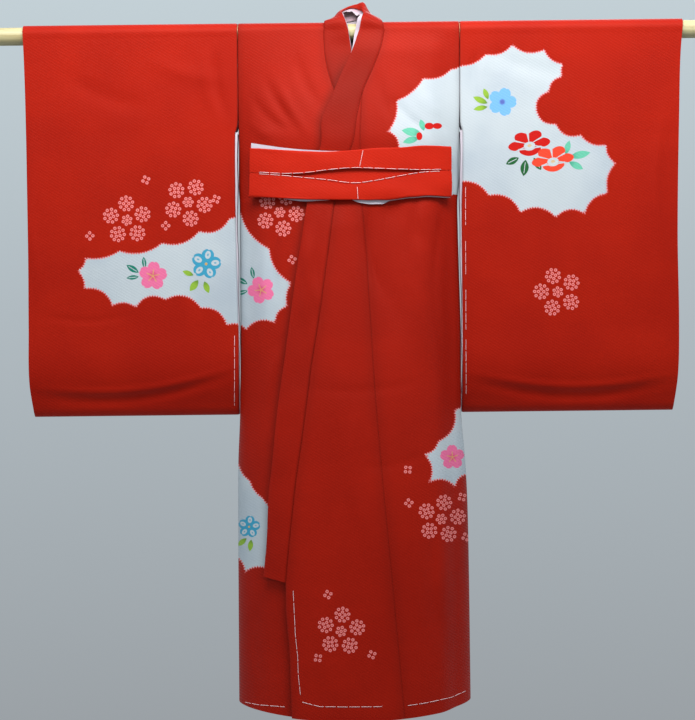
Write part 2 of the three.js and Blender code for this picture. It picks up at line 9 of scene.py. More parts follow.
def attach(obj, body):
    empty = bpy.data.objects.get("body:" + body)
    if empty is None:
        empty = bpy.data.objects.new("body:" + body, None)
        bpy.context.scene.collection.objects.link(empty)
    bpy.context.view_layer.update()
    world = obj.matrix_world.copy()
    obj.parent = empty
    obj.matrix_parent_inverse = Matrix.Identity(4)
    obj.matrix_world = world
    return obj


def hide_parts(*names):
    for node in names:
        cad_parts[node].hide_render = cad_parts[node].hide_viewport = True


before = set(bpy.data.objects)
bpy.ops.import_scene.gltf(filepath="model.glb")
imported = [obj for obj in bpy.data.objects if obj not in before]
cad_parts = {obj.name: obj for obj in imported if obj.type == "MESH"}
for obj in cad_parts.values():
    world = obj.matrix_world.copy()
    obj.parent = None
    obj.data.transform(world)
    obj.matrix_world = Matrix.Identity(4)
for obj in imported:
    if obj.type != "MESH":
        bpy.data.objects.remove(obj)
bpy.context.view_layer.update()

# Display pole. A plain round dowel of pale straw-coloured wood, sanded smooth, that runs
# through both sleeves and carries the whole garment. Its ends are sawn flat and eased.
MM = 0.001
POLE_RADIUS = 13.2
POLE_LENGTH = 1200
POLE_EASE = 1.2


def make_piece(name, points, faces, materials, face_materials=None, layers=None, sharp=50):
    """Mesh object from a points array in millimetres and an array of quads, faces outward."""
    mesh = bpy.data.meshes.new(name)
    mesh.vertices.add(len(points))
    mesh.vertices.foreach_set("co", (points * MM).astype(np.float32).ravel())
    mesh.loops.add(faces.size)
    mesh.loops.foreach_set("vertex_index", faces.astype(np.int32).ravel())
    mesh.polygons.add(len(faces))
    mesh.polygons.foreach_set("loop_start", np.arange(len(faces), dtype=np.int32) * 4)
    for material in materials:
        mesh.materials.append(material)
    if face_materials is not None:
        mesh.polygons.foreach_set("material_index", face_materials.astype(np.int32))
    for layer, values in (layers or {}).items():
        attribute = mesh.attributes.new(layer, "FLOAT_VECTOR", "POINT")
        attribute.data.foreach_set("vector", values.astype(np.float32).ravel())
    mesh.update(calc_edges=True)
    mesh.validate()
    mesh.shade_smooth()
    mesh.set_sharp_from_angle(angle=math.radians(sharp))
    piece = bpy.data.objects.new(name, mesh)
    bpy.context.scene.collection.objects.link(piece)
    return piece


def grid_quads(rows, columns, closed_rows=False, closed_columns=False):
    """Corner numbers of the quads of a grid of points, which wraps round where it is closed."""
    j, i = np.meshgrid(
        np.arange(rows if closed_rows else rows - 1),
        np.arange(columns if closed_columns else columns - 1),
        indexing="ij",
    )
    after_j = (j + 1) % rows
    after_i = (i + 1) % columns
    corners = [j * columns + i, j * columns + after_i, after_j * columns + after_i, after_j * columns + i]
    return np.stack(corners, axis=-1).reshape(-1, 4)


class Value:
    """A socket of a material's nodes. Arithmetic on it adds the Math node that does it."""

    def __init__(self, nodes, link):
        self.nodes = nodes
        self.link = link

    def math(self, operation, *others):
        return self.nodes.add("ShaderNodeMath", {"operation": operation}, [self, *others])

    def __add__(self, other):
        return self.math("ADD", other)

    __radd__ = __add__

    def __mul__(self, other):
        return self.math("MULTIPLY", other)

    __rmul__ = __mul__

    def __sub__(self, other):
        return self.math("SUBTRACT", other)

    def __rsub__(self, other):
        return self.nodes.add("ShaderNodeMath", {"operation": "SUBTRACT"}, [other, self])

    def __truediv__(self, other):
        return self.math("DIVIDE", other)

    def __abs__(self):
        return self.math("ABSOLUTE")

    def at_least(self, other):
        return self.math("MAXIMUM", other)

    def step(self, low, high):
        """0 below low, 1 above high and a smooth rise between."""
        settings = {"interpolation_type": "SMOOTHSTEP"}
        return self.nodes.add("ShaderNodeMapRange", settings, [self, low, high, 0.0, 1.0])


class Nodes:
    """The node tree of a new material."""

    def __init__(self, name):
        self.material = bpy.data.materials.new(name)
        self.material.use_nodes = True
        self.tree = self.material.node_tree
        self.tree.nodes.clear()

    def add(self, kind, settings=None, inputs=None, output=0):
        """A node of a kind, its settings first, then values or links for its inputs."""
        node = self.tree.nodes.new(kind)
        for name, setting in (settings or {}).items():
            if name == "stops":
                self.set_stops(node.color_ramp, setting)
            else:
                setattr(node, name, setting)
        pairs = inputs.items() if isinstance(inputs, dict) else enumerate(inputs or [])
        for key, value in pairs:
            if isinstance(value, Value):
                self.tree.links.new(value.link, node.inputs[key])
            elif value is not None:
                node.inputs[key].default_value = value
        return Value(self, node.outputs[output])

    @staticmethod
    def set_stops(ramp, stops):
        while len(ramp.elements) < len(stops):
            ramp.elements.new(1.0)
        for element, (place, colour) in zip(ramp.elements, stops):
            element.position = place
            element.color = colour

    def mix(self, factor, first, second):
        """Colour between two colours."""
        settings = {"data_type": "RGBA"}
        return self.add("ShaderNodeMix", settings, {0: factor, 6: first, 7: second}, output=2)

    def attribute(self, name):
        """The three numbers of a named attribute of the mesh."""
        vector = self.add("ShaderNodeAttribute", {"attribute_name": name}, output=1)
        return self.split(vector)

    def split(self, vector):
        """The three numbers of a vector."""
        node = self.tree.nodes.new("ShaderNodeSeparateXYZ")
        self.tree.links.new(vector.link, node.inputs[0])
        return Value(self, node.outputs[0]), Value(self, node.outputs[1]), Value(self, node.outputs[2])

    def noise(self, where, scale, detail=2.0, output=0):
        """Soft noise at a place."""
        inputs = {"Vector": where, "Scale": scale, "Detail": detail}
        return self.add("ShaderNodeTexNoise", {}, inputs, output)

    def finish(self, shader):
        """The material, with its shader linked to the output."""
        output = self.tree.nodes.new("ShaderNodeOutputMaterial")
        self.tree.links.new(shader.link, output.inputs["Surface"])
        return self.material


def colour(red, green, blue):
    """Linear colour from the eye's 0 to 255 values."""
    values = [c / 255 for c in (red, green, blue)]
    linear = [c / 12.92 if c <= 0.04045 else ((c + 0.055) / 1.055) ** 2.4 for c in values]
    return (*linear, 1.0)


def wood_material():
    """Pale straw wood with long grain lines along the pole."""
    nodes = Nodes("pale_wood_pole")
    place = nodes.add("ShaderNodeTexCoord", output=3)
    stretched = nodes.add("ShaderNodeMapping", {}, {"Vector": place, "Scale": (6.0, 160.0, 160.0)})
    grain = nodes.noise(stretched, 1.0, 5.0)
    fine = nodes.noise(stretched, 4.0, 3.0)
    tint = nodes.mix(grain.step(0.35, 0.7), colour(178, 170, 130), colour(157, 144, 101))
    tint = nodes.mix(fine.step(0.55, 0.75) * 0.35, tint, colour(138, 121, 79))
    bump = nodes.add("ShaderNodeBump", {}, {"Strength": 0.2, "Distance": 0.0004, "Height": grain})
    shader = nodes.add(
        "ShaderNodeBsdfPrincipled", {},
        {"Base Color": tint, "Roughness": grain * 0.15 + 0.45, "Normal": bump},
    )
    return nodes.finish(shader)


def revolved_pole():
    """Rings of the pole's radius along X, drawn in at both ends to a small flat disc."""
    half = POLE_LENGTH / 2
    profile = np.array([
        [-half, 0.4], [-half, POLE_RADIUS - POLE_EASE], [-half + POLE_EASE, POLE_RADIUS],
        [0, POLE_RADIUS], [half - POLE_EASE, POLE_RADIUS], [half, POLE_RADIUS - POLE_EASE], [half, 0.4],
    ])
    sides = 64
    angle = np.linspace(0, 2 * math.pi, sides, endpoint=False)
    x = np.repeat(profile[:, 0], sides)
    y = np.outer(profile[:, 1], np.cos(angle)).ravel()
    z = np.outer(profile[:, 1], np.sin(angle)).ravel()
    faces = grid_quads(len(profile), sides, closed_columns=True)
    quarter = sides // 4
    cap = np.array([[0, 3 * quarter, 2 * quarter, quarter]])
    end = (len(profile) - 1) * sides
    return np.stack([x, y, z], axis=1), np.concatenate([faces[:, ::-1], cap[:, ::-1], cap + end])


pole_points, pole_faces = revolved_pole()
pole = make_piece("pole_wood", pole_points, pole_faces, [wood_material()], sharp=30)
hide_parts("pole")
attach(pole, "root")

# Body cloth, back and two fronts. One width of red figured silk crepe, lined in white,
# runs from the back hem over the shoulders to the front hem, slit down the middle in front.
# White clouds, flowers and tie-dyed rings are dyed into the silk before it is sewn.
SILK = 1.5
HALF_SEAM = 0.04
OVER_LAYER = 4.2
OVER_LAYER_HEM = 9
FOLD_RADIUS = 14.2
SHOULDER_ANGLE = 89.95
HEM_SIDE = 998
HEM_DIP_FRONT = 12
HEM_DIP_BACK = 2
COLLAR_END = 812.5
TUCK_TOP = -246
TUCK_BOTTOM = -254
TUCK_FADE = -320
TUCK_STEP = 1.8
BAND_TOP = -180
HALF_WIDTH = 165
STRETCH_FROM = -815
NOMINAL_HEM = -1000

BODY_SECTIONS = {
    "z": [0, -60, -110, -138, -165, -200, -230, -254, -300, -350, -450, -520, -575, -640, -700, -800,
          -1000],
    "half": [165.2, 165.0, 164.8, 164.4, 164.0, 163.6, 163.5, 161.8, 162, 162.5, 163.7, 164, 164.4, 168.4,
             170.2, 171.2, 171.9],
    "front": [13.9, 24, 34, 39, 42, 41, 41.5, 45, 50, 54, 62, 67.5, 72, 76, 80, 86, 95],
    "back": [13.8, 15, 16, 17, 17.5, 18, 18, 18.3, 19, 20, 22, 23, 24, 25, 26.2, 28, 31],
    "edge": [13.8, 13.6, 12.6, 11, 7.5, 3] + [0.15] * 11,
    "turn": [30, 40, 52, 60, 72, 84] + [90] * 11,
    "shift": [-1.5, -2, -2.3, -2.6, -2.9, -3.4, -3.8, -4.4, -4.4, -4, -3.4, -4, -4.8, -4, -3.1, -2.9,
              -3.2],
}
COLLAR_LINES = {
    "z": [0, -30, -60, -88, -106, -136, -171, -210, -262, -314, -363, -436, -499, -557, -605, -652,
          -685, -750, -812.5],
    "seam": [52.7, 46.5, 35, 22.6, 17, 10.4, 5.6, -10, -20.7, -28, -35.3, -46.5, -56.7, -63.3, -70,
             -77.8, -82.6, -90, -96],
    "free": [15.6, 5.8, -8, -19.8, -27.4, -39.4, -40.5, -52, -60.8, -68.7, -77.3, -88.2, -96.7, -103.8,
             -109, -114.3, -118.7, -121.7, -127],
}
PANEL_EDGE = {"z": [-812.5, -854, -909, -1000], "x": [-95.8, -95.6, -91.2, -88.6]}
FRONT_SEAM = {
    "z": [-100, -174, -277, -378, -498, -600, -694, -795, -1000],
    "x": [19.3, 16.4, 19.6, 25.7, 31.9, 39, 44.4, 52.5, 69],
}
UNDER_NECK = {"z": [0, -30, -60, -88], "seam": [-37, -35.6, -31, -22.6], "free": [-0.6, 4.2, 11.5, 19.8]}
UNDER_NECK_END = -88
OKUMI_TOP = -100
NECK_SIDE_LEFT = 53.5
NECK_SIDE_RIGHT = -38
# The fronts' top corners are tucked this far under the collar, between these heights
NECK_TUCK = 4
TUCK_FROM = -6
TUCK_TO = 8
# Soft vertical folds: middle, half width, depth outwards, and the heights they run between
SKIRT_FOLDS = [
    (62, 20, -5, -240, -520), (108, 24, 3, -240, -560), (148, 16, -4, -230, -620),
    (-150, 14, -4, -240, -700), (-20, 30, 2.5, -260, -700),
]
BACK_FOLDS = [
    (-90, 26, -4, -230, -640), (-30, 30, 3, -230, -760), (55, 24, -4, -230, -560),
    (118, 26, 3, -230, -700),
]
# Small creases of the front: both ends across and up, half width, and depth outwards
FRONT_CREASES = [
    (-148, -92, -92, -152, 7, -2.7), (-128, -62, -70, -150, 8, -2.4), (-152, -128, -112, -162, 6, 2.5),
    (-104, -78, -58, -158, 7, 2.2), (-80, -30, -40, -120, 9, -1.7), (60, -100, 118, -156, 8, -2.2),
    (84, -62, 140, -140, 9, 1.7), (40, -60, 72, -150, 8, -1.9), (128, -120, 152, -158, 6, -2.0),
    (-80, -528, 108, -522, 7, -0.6), (10, -648, 110, -628, 7, -0.6), (-60, -300, -44, -420, 7, 1.7),
    (30, -268, 52, -420, 7, -2.0), (82, -262, 88, -400, 8, 2.0), (140, -256, 132, -500, 8, -2.4),
    (-132, -262, -142, -470, 7, -2.0), (-118, -300, -122, -430, 6, 1.5), (6, -560, 20, -760, 10, 1.5),
    (30, -252, 46, -400, 9, -3.0), (66, -258, 78, -420, 10, 2.6), (100, -250, 104, -330, 8, -2.2),
    (-40, -262, -60, -470, 8, 1.8), (-96, -262, -108, -400, 6, -1.8), (-100, -470, -126, -560, 8, 1.6),
    (120, -700, 128, -930, 11, -1.9), (-140, -830, -136, -975, 9, -1.7), (-40, -820, -30, -985, 12, 1.4),
]
BACK_CREASES = [
    (-130, -60, -60, -170, 10, -2.0), (-40, -50, 30, -190, 12, 1.7), (70, -60, 140, -180, 10, -2.0),
    (-120, -300, -110, -520, 9, -1.7), (20, -280, 10, -560, 10, 1.4), (100, -330, 92, -620, 9, -1.7),
    (-60, -640, -50, -900, 12, 1.3), (70, -700, 80, -960, 12, -1.3), (-140, -520, 130, -512, 3, -1.1),
]


def along(table, at, name, key="z"):
    """Smooth curve through a table's rows: cubic pieces whose slopes join the neighbouring rows."""
    places = np.array(table[key], float)
    values = np.array(table[name], float)
    if places[0] > places[-1]:
        places, values = places[::-1], values[::-1]
    at = np.clip(at, places[0], places[-1])
    low = np.maximum(np.arange(len(places)) - 1, 0)
    high = np.minimum(np.arange(len(places)) + 1, len(places) - 1)
    slope = (values[high] - values[low]) / (places[high] - places[low])
    i = np.clip(np.searchsorted(places, at, side="right") - 1, 0, len(places) - 2)
    span = places[i + 1] - places[i]
    s = (at - places[i]) / span
    rise = s * s * (3 - 2 * s)
    start = s * (1 - s) ** 2 * span * slope[i]
    end = s * s * (1 - s) * span * slope[i + 1]
    return values[i] + (values[i + 1] - values[i]) * rise + start - end


def smooth(low, high, value):
    """0 below low, 1 above high and a smooth rise between."""
    s = np.clip((value - low) / (high - low), 0, 1)
    return s * s * (3 - 2 * s)


def long_folds(folds, x, z):
    """Sum of bell-shaped ridges across, each faded in at its top and out below its bottom."""
    relief = np.zeros_like(x)
    for middle, spread, depth, top, bottom in folds:
        fade = smooth(-top, -top + 40, -z) * (1 - smooth(-bottom - 160, -bottom, -z))
        relief += depth * np.exp(-(((x - middle) / spread) ** 2)) * fade
    return relief


def creases(rows, x, z):
    """Sum of soft troughs and ridges about straight lines, rounded off at both ends."""
    relief = np.zeros_like(x)
    for x0, z0, x1, z1, width, depth in rows:
        length = math.hypot(x1 - x0, z1 - z0)
        way = ((x - x0) * (x1 - x0) + (z - z0) * (z1 - z0)) / length
        aside = ((x - x0) * (z1 - z0) - (z - z0) * (x1 - x0)) / length
        bend = 0.06 * length * np.sin(np.clip(way / length, 0, 1) * math.pi)
        ends = smooth(-0.1, 0.35, way / length) * (1 - smooth(0.65, 1.1, way / length))
        relief += depth * np.exp(-(((aside - bend) / width) ** 2)) * ends
    return relief


def skirt_tuck(z):
    """The skirt stands out in a sharp step under the band, which fades out further down."""
    return smooth(-TUCK_TOP, -TUCK_BOTTOM, -z) * (1 - smooth(-TUCK_BOTTOM, -TUCK_FADE, -z))


def band_tuck(z):
    """The waist band goes over the step in a soft curve."""
    return smooth(-BAND_TOP, -TUCK_BOTTOM, -z)


def body_point(face, turn, h, tuck=skirt_tuck):
    """Point of the body's cloth: an ellipse-like section at each height, laid round the pole above 0."""
    z = np.minimum(h, 0)
    swell = along(BODY_SECTIONS, z, "front" if face < 0 else "back")
    edge = along(BODY_SECTIONS, z, "edge")
    limit = np.radians(along(BODY_SECTIONS, z, "turn"))
    angle = turn * limit
    x = along(BODY_SECTIONS, z, "half") * np.sin(angle) / np.sin(limit)
    round_part = (np.cos(angle) - np.cos(limit)) / (1 - np.cos(limit))
    depth = edge + (swell - edge) * round_part
    inside = np.minimum(1, 2 * (1 - np.abs(turn)))
    depth += long_folds(SKIRT_FOLDS if face < 0 else BACK_FOLDS, x, z) * inside
    depth += creases(FRONT_CREASES if face < 0 else BACK_CREASES, x, z) * inside
    depth += TUCK_STEP * tuck(z) * np.minimum(1, 3 * (1 - np.abs(turn)))
    wrap = np.maximum(h, 0) / FOLD_RADIUS
    across = x + along(BODY_SECTIONS, z, "shift")
    return np.stack([across, face * depth * np.cos(wrap), z + FOLD_RADIUS * np.sin(wrap)], axis=-1)


def turn_at(x, h):
    """The turn round the body at which its cloth is x away from the middle."""
    z = np.minimum(h, 0)
    limit = np.radians(along(BODY_SECTIONS, z, "turn"))
    sine = x / along(BODY_SECTIONS, z, "half") * np.sin(limit)
    return np.arcsin(np.clip(sine, -1, 1)) / limit


def body_layer(face, turn, h, distance, tuck=skirt_tuck):
    """The body's point moved outwards, square to the cloth, by a distance."""
    step = 0.004
    across = body_point(face, turn + step, h, tuck) - body_point(face, turn - step, h, tuck)
    up = body_point(face, turn, h + 1, tuck) - body_point(face, turn, h - 1, tuck)
    out = np.cross(across, up) * -face
    out /= np.linalg.norm(out, axis=-1, keepdims=True)
    return body_point(face, turn, h, tuck) + out * np.asarray(distance)[..., None]


def reach(h, hem):
    """Height on a panel for a row's nominal height: the lowest rows stretch to the curved hem."""
    stretched = STRETCH_FROM + (h - STRETCH_FROM) * (hem - STRETCH_FROM) / (NOMINAL_HEM - STRETCH_FROM)
    return np.where(h >= STRETCH_FROM, h, stretched)


def hem_height(face, turn):
    """The hem hangs lowest at the middle, as a squared cosine of the turn."""
    dip = HEM_DIP_FRONT if face < 0 else HEM_DIP_BACK
    return -HEM_SIDE - dip * np.cos(turn * math.pi / 2) ** 2


def over_distance(turn, h):
    """How far the left-hand front stands out over the right-hand one: most at the hem."""
    x = body_point(-1, turn, h)[..., 0] - along(BODY_SECTIONS, np.minimum(h, 0), "shift")
    stand = OVER_LAYER + (OVER_LAYER_HEM - OVER_LAYER) * smooth(300, 800, -h)
    return stand * smooth(0, 36, -h) * (1 - smooth(118, 152, x))


# The picture plane that the dyed pattern is laid out in: the garment seen from straight in front
EYE_X = -8.6
EYE_Z = -490.5
EYE_DISTANCE = 2400


def pattern_place(points):
    """Where a point of the cloth lies in the pattern, in millimetres seen from the front."""
    scale = EYE_DISTANCE / (EYE_DISTANCE + np.minimum(points[..., 1], 0))
    x = EYE_X + (points[..., 0] - EYE_X) * scale
    z = EYE_Z + (points[..., 2] - EYE_Z) * scale
    return np.stack([x, z, np.zeros_like(x)], axis=-1)


# White clouds. Each row is a cusp of the outline, across and up, and how deep the arc from it
# to the next cusp dips inwards, as a share of that arc's chord
CLOUDS = {
    "low_sleeve": [
        (-412, -352, 0.16), (-400, -333, 0.1), (-349, -323, 0.14), (-285, -312, 0.16),
        (-229, -295, 0.2), (-183, -276, 0.1), (-166, -269, 0.12), (-124, -322, 0.14), (-91, -374, 0.12),
        (-98, -409, 0.2), (-116, -434, 0.2), (-160, -443, 0.16), (-189, -436, 0.2), (-228, -410, 0.22),
        (-281, -397, 0.24), (-325, -408, 0.16), (-360, -405, 0.2), (-402, -379, 0.12)],
    "shoulder": [
        (56, -148, 0.12), (69, -102, 0.1), (110, -69, 0.14), (152, -56, 0.08), (167, -51, 0.12),
        (204, -34, 0.16), (244, -20, 0.18), (292, -28, 0.16), (320, -50, 0.14), (319, -69, 0.2),
        (298, -92, 0.22), (279, -119, 0.22), (308, -140, 0.22), (345, -157, 0.16), (383, -172, 0.14),
        (397, -200, 0.14), (385, -245, 0.18), (350, -275, 0.2), (306, -280, 0.2), (253, -272, 0.2),
        (206, -246, 0.16), (164, -225, 0), (162, -255, 0), (71, -254, 0), (72, -170, 0.15)],
    "hip": [
        (172, -553, 0), (220, -553, 0), (218, -664, 0), (170, -664, 0.2), (151, -683, 0.2),
        (111, -676, 0.2), (104, -633, 0.18), (126, -614, 0.2), (151, -567, 0.1)],
    "knee": [
        (-232, -647, 0), (-173, -646, 0.1), (-157, -670, 0.1), (-138, -696, 0.1), (-124, -710, 0.1),
        (-97, -717, 0), (-98, -803, 0), (-131, -803, 0.16), (-166, -807, 0.12), (-179, -783, 0.0),
        (-233, -782, 0)],
    "low_sleeve_back": [
        (-232, -270, 0), (-170, -270, 0.14), (-130, -290, 0.16), (-98, -326, 0.16), (-92, -374, 0.16),
        (-118, -414, 0.16), (-150, -436, 0.14), (-172, -441, 0), (-232, -441, 0)],
    "shoulder_back": [
        (84, -148, 0.14), (94, -104, 0.16), (128, -68, 0.14), (164, -51, 0), (210, -51, 0),
        (210, -225, 0), (164, -225, 0.16), (130, -236, 0.16), (98, -204, 0.16)],
    "hip_back": [
        (118, -606, 0.16), (136, -568, 0.16), (164, -553, 0), (210, -553, 0), (210, -664, 0),
        (164, -664, 0.16), (130, -652, 0.16)],
    "knee_back": [
        (-232, -647, 0), (-172, -646, 0.12), (-140, -664, 0.16), (-118, -702, 0.16), (-124, -748, 0.16),
        (-150, -776, 0.14), (-176, -783, 0), (-232, -783, 0)],
}
SCALLOP_STEPS = 8
OUTSIDE = -1000.0
CLEAR_BELOW = -460


def cloud_outline(rows):
    """Closed curve of scallops: the cusps are joined by parabolas that dip towards the inside."""
    rows = np.array(rows, float)
    cusps = rows[:, :2]
    chord = np.roll(cusps, -1, axis=0) - cusps
    s = np.linspace(0, 1, SCALLOP_STEPS, endpoint=False)
    inward = np.stack([chord[:, 1], -chord[:, 0]], axis=1) * rows[:, 2:]
    dip = (4 * s * (1 - s))[None, :, None]
    return (cusps[:, None] + chord[:, None] * s[None, :, None] + inward[:, None] * dip).reshape(-1, 2)


def dye_field(place, names):
    """Distance inside the nearest cloud's outline, and the length along that outline."""
    x, z = place[..., 0].ravel(), place[..., 1].ravel()
    best = np.full(x.shape, OUTSIDE)
    along_edge = np.zeros_like(x)
    for name in names:
        outline = cloud_outline(CLOUDS[name])
        after = np.roll(outline, -1, axis=0)
        piece = after - outline
        size = np.linalg.norm(piece, axis=1)
        start_length = np.concatenate([[0], np.cumsum(size)[:-1]])
        near = np.full(x.shape, 1e9)
        here = np.zeros_like(x)
        inside = np.zeros(x.shape, bool)
        for k in range(len(outline)):
            dx, dz = x - outline[k, 0], z - outline[k, 1]
            way = np.clip((dx * piece[k, 0] + dz * piece[k, 1]) / size[k] ** 2, 0, 1)
            gap = np.hypot(dx - way * piece[k, 0], dz - way * piece[k, 1])
            closer = gap < near
            near = np.where(closer, gap, near)
            here = np.where(closer, start_length[k] + way * size[k], here)
            crosses = (outline[k, 1] > z) != (after[k, 1] > z)
            rise = piece[k, 1] if piece[k, 1] != 0 else 1e-9
            inside ^= crosses & (dx < piece[k, 0] * (z - outline[k, 1]) / rise)
        signed = np.where(inside, near, -near)
        better = signed > best
        best = np.where(better, signed, best)
        along_edge = np.where(better, here, along_edge)
    field = np.stack([best, along_edge, np.zeros_like(best)], axis=-1)
    return field.reshape(place.shape)


# Colours of the dyed silk, and of the shade painted on it
RED = colour(148, 20, 4)
RED_DARK = colour(139, 16, 3)
# A darker copy of the same red for the body panels: painted shade
SHADED_BODY_RED = colour(140, 17, 3)
SHADED_BODY_RED_DARK = colour(131, 14, 2)
# A still darker copy of the same red for the collar: painted shade
SHADED_COLLAR_RED = colour(136, 15, 2)
SHADED_COLLAR_RED_DARK = colour(127, 13, 2)
BAND_RED = colour(170, 27, 8)
BAND_RED_DARK = colour(160, 23, 6)
FIGURE_RED = colour(160, 28, 10)
# Near-black red that is painted on as shade by seams, in hollows and over the chest
SEAM_SHADE = colour(48, 4, 3)
WHITE = colour(169, 178, 183)
WHITE_SHADE = colour(154, 165, 174)
EDGE_PINK = colour(206, 112, 112)
RING_PINK = colour(206, 118, 116)
RING_CORE = colour(168, 30, 26)
PINK = colour(206, 100, 140)
PINK_DEEP = colour(186, 66, 102)
BLUE = colour(48, 138, 168)
SKY = colour(100, 156, 204)
VIOLET = colour(70, 76, 150)
TEAL = colour(10, 108, 92)
MINT = colour(88, 170, 144)
DARK_GREEN = colour(18, 84, 44)
SPRING_GREEN = colour(124, 160, 54)
CAMELLIA_RED = colour(172, 20, 18)
CORAL = colour(206, 62, 42)
GOLD = colour(190, 150, 84)

# Blossoms: middle, radius, turn, kind. Leaves: base, length, width, direction, colour
BLOSSOMS = {
    "sleeve_right": [(-299, -361, 22, 12, "pink"), (-219, -344, 23, 6, "blue")],
    "front_right": [(-137, -384, 21, 40, "pink"), (-159, -739, 17, 10, "blue")],
    "sleeve_left": [(228, -106, 22, 0, "sky"), (268, -172, 0, 0, "camellia"), (303, -196, 0, 0, "coral")],
    "front_left": [(123, -142, 0, 0, "petals"), (147, -638, 19, 20, "pink")],
}
LEAVES = {
    "sleeve_right": [
        (-320, -356, 22, 8, 148, "teal"), (-311, -350, 18, 6, 96, "teal"),
        (-320, -362, 19, 6, 186, "teal"), (-238, -361, 18, 7, 158, "spring"),
        (-231, -368, 21, 9, 232, "spring"), (-222, -370, 19, 8, 290, "spring")],
    "front_right": [
        (-157, -375, 20, 7, 150, "teal"), (-148, -367, 18, 6, 100, "teal"),
        (-157, -385, 18, 6, 196, "teal"),
        (-163, -756, 18, 7, 220, "spring"), (-156, -758, 18, 7, 262, "spring")],
    "sleeve_left": [
        (206, -108, 24, 8, 155, "spring"), (207, -102, 18, 7, 112, "spring"),
        (206, -113, 22, 7, 190, "spring"), (252, -190, 22, 9, 206, "dark"),
        (262, -193, 25, 11, 262, "dark"),
        (274, -190, 22, 9, 300, "dark"), (322, -186, 22, 8, 74, "mint"), (328, -190, 32, 10, 12, "mint"),
        (327, -197, 24, 9, -28, "mint")],
    "front_left": [
        (106, -152, 30, 11, 170, "mint"), (103, -158, 26, 9, 196, "mint"),
        (110, -148, 18, 8, 106, "mint")],
}
# Tie-dyed ring groups: middle and turn of each cluster, and of each small group of four
RING_CLUSTERS = {
    "sleeve_right": [(-337, -277, 20), (-245, -251, 62)],
    "front_right": [(-107.7, -267.8, 65.5)],
    "sleeve_left": [(308, -392, 34)],
    "front_left": [(129.4, -730.7, 7.5)],
    "okumi_left": [(-22.8, -897.4, 13)],
}
RING_FOURS = {
    "sleeve_right": [(-308, -217, 20), (-203, -247, 24), (-279, -286, 0), (-393, -300, 2)],
    "front_right": [(-90, -339, 12)],
    "front_left": [(80, -656, 40), (81, -706, 8), (161, -698, 30), (166, -758, 20)],
    "okumi_left": [(-42, -842, 14), (-58, -937, 36), (23, -933, 20)],
}


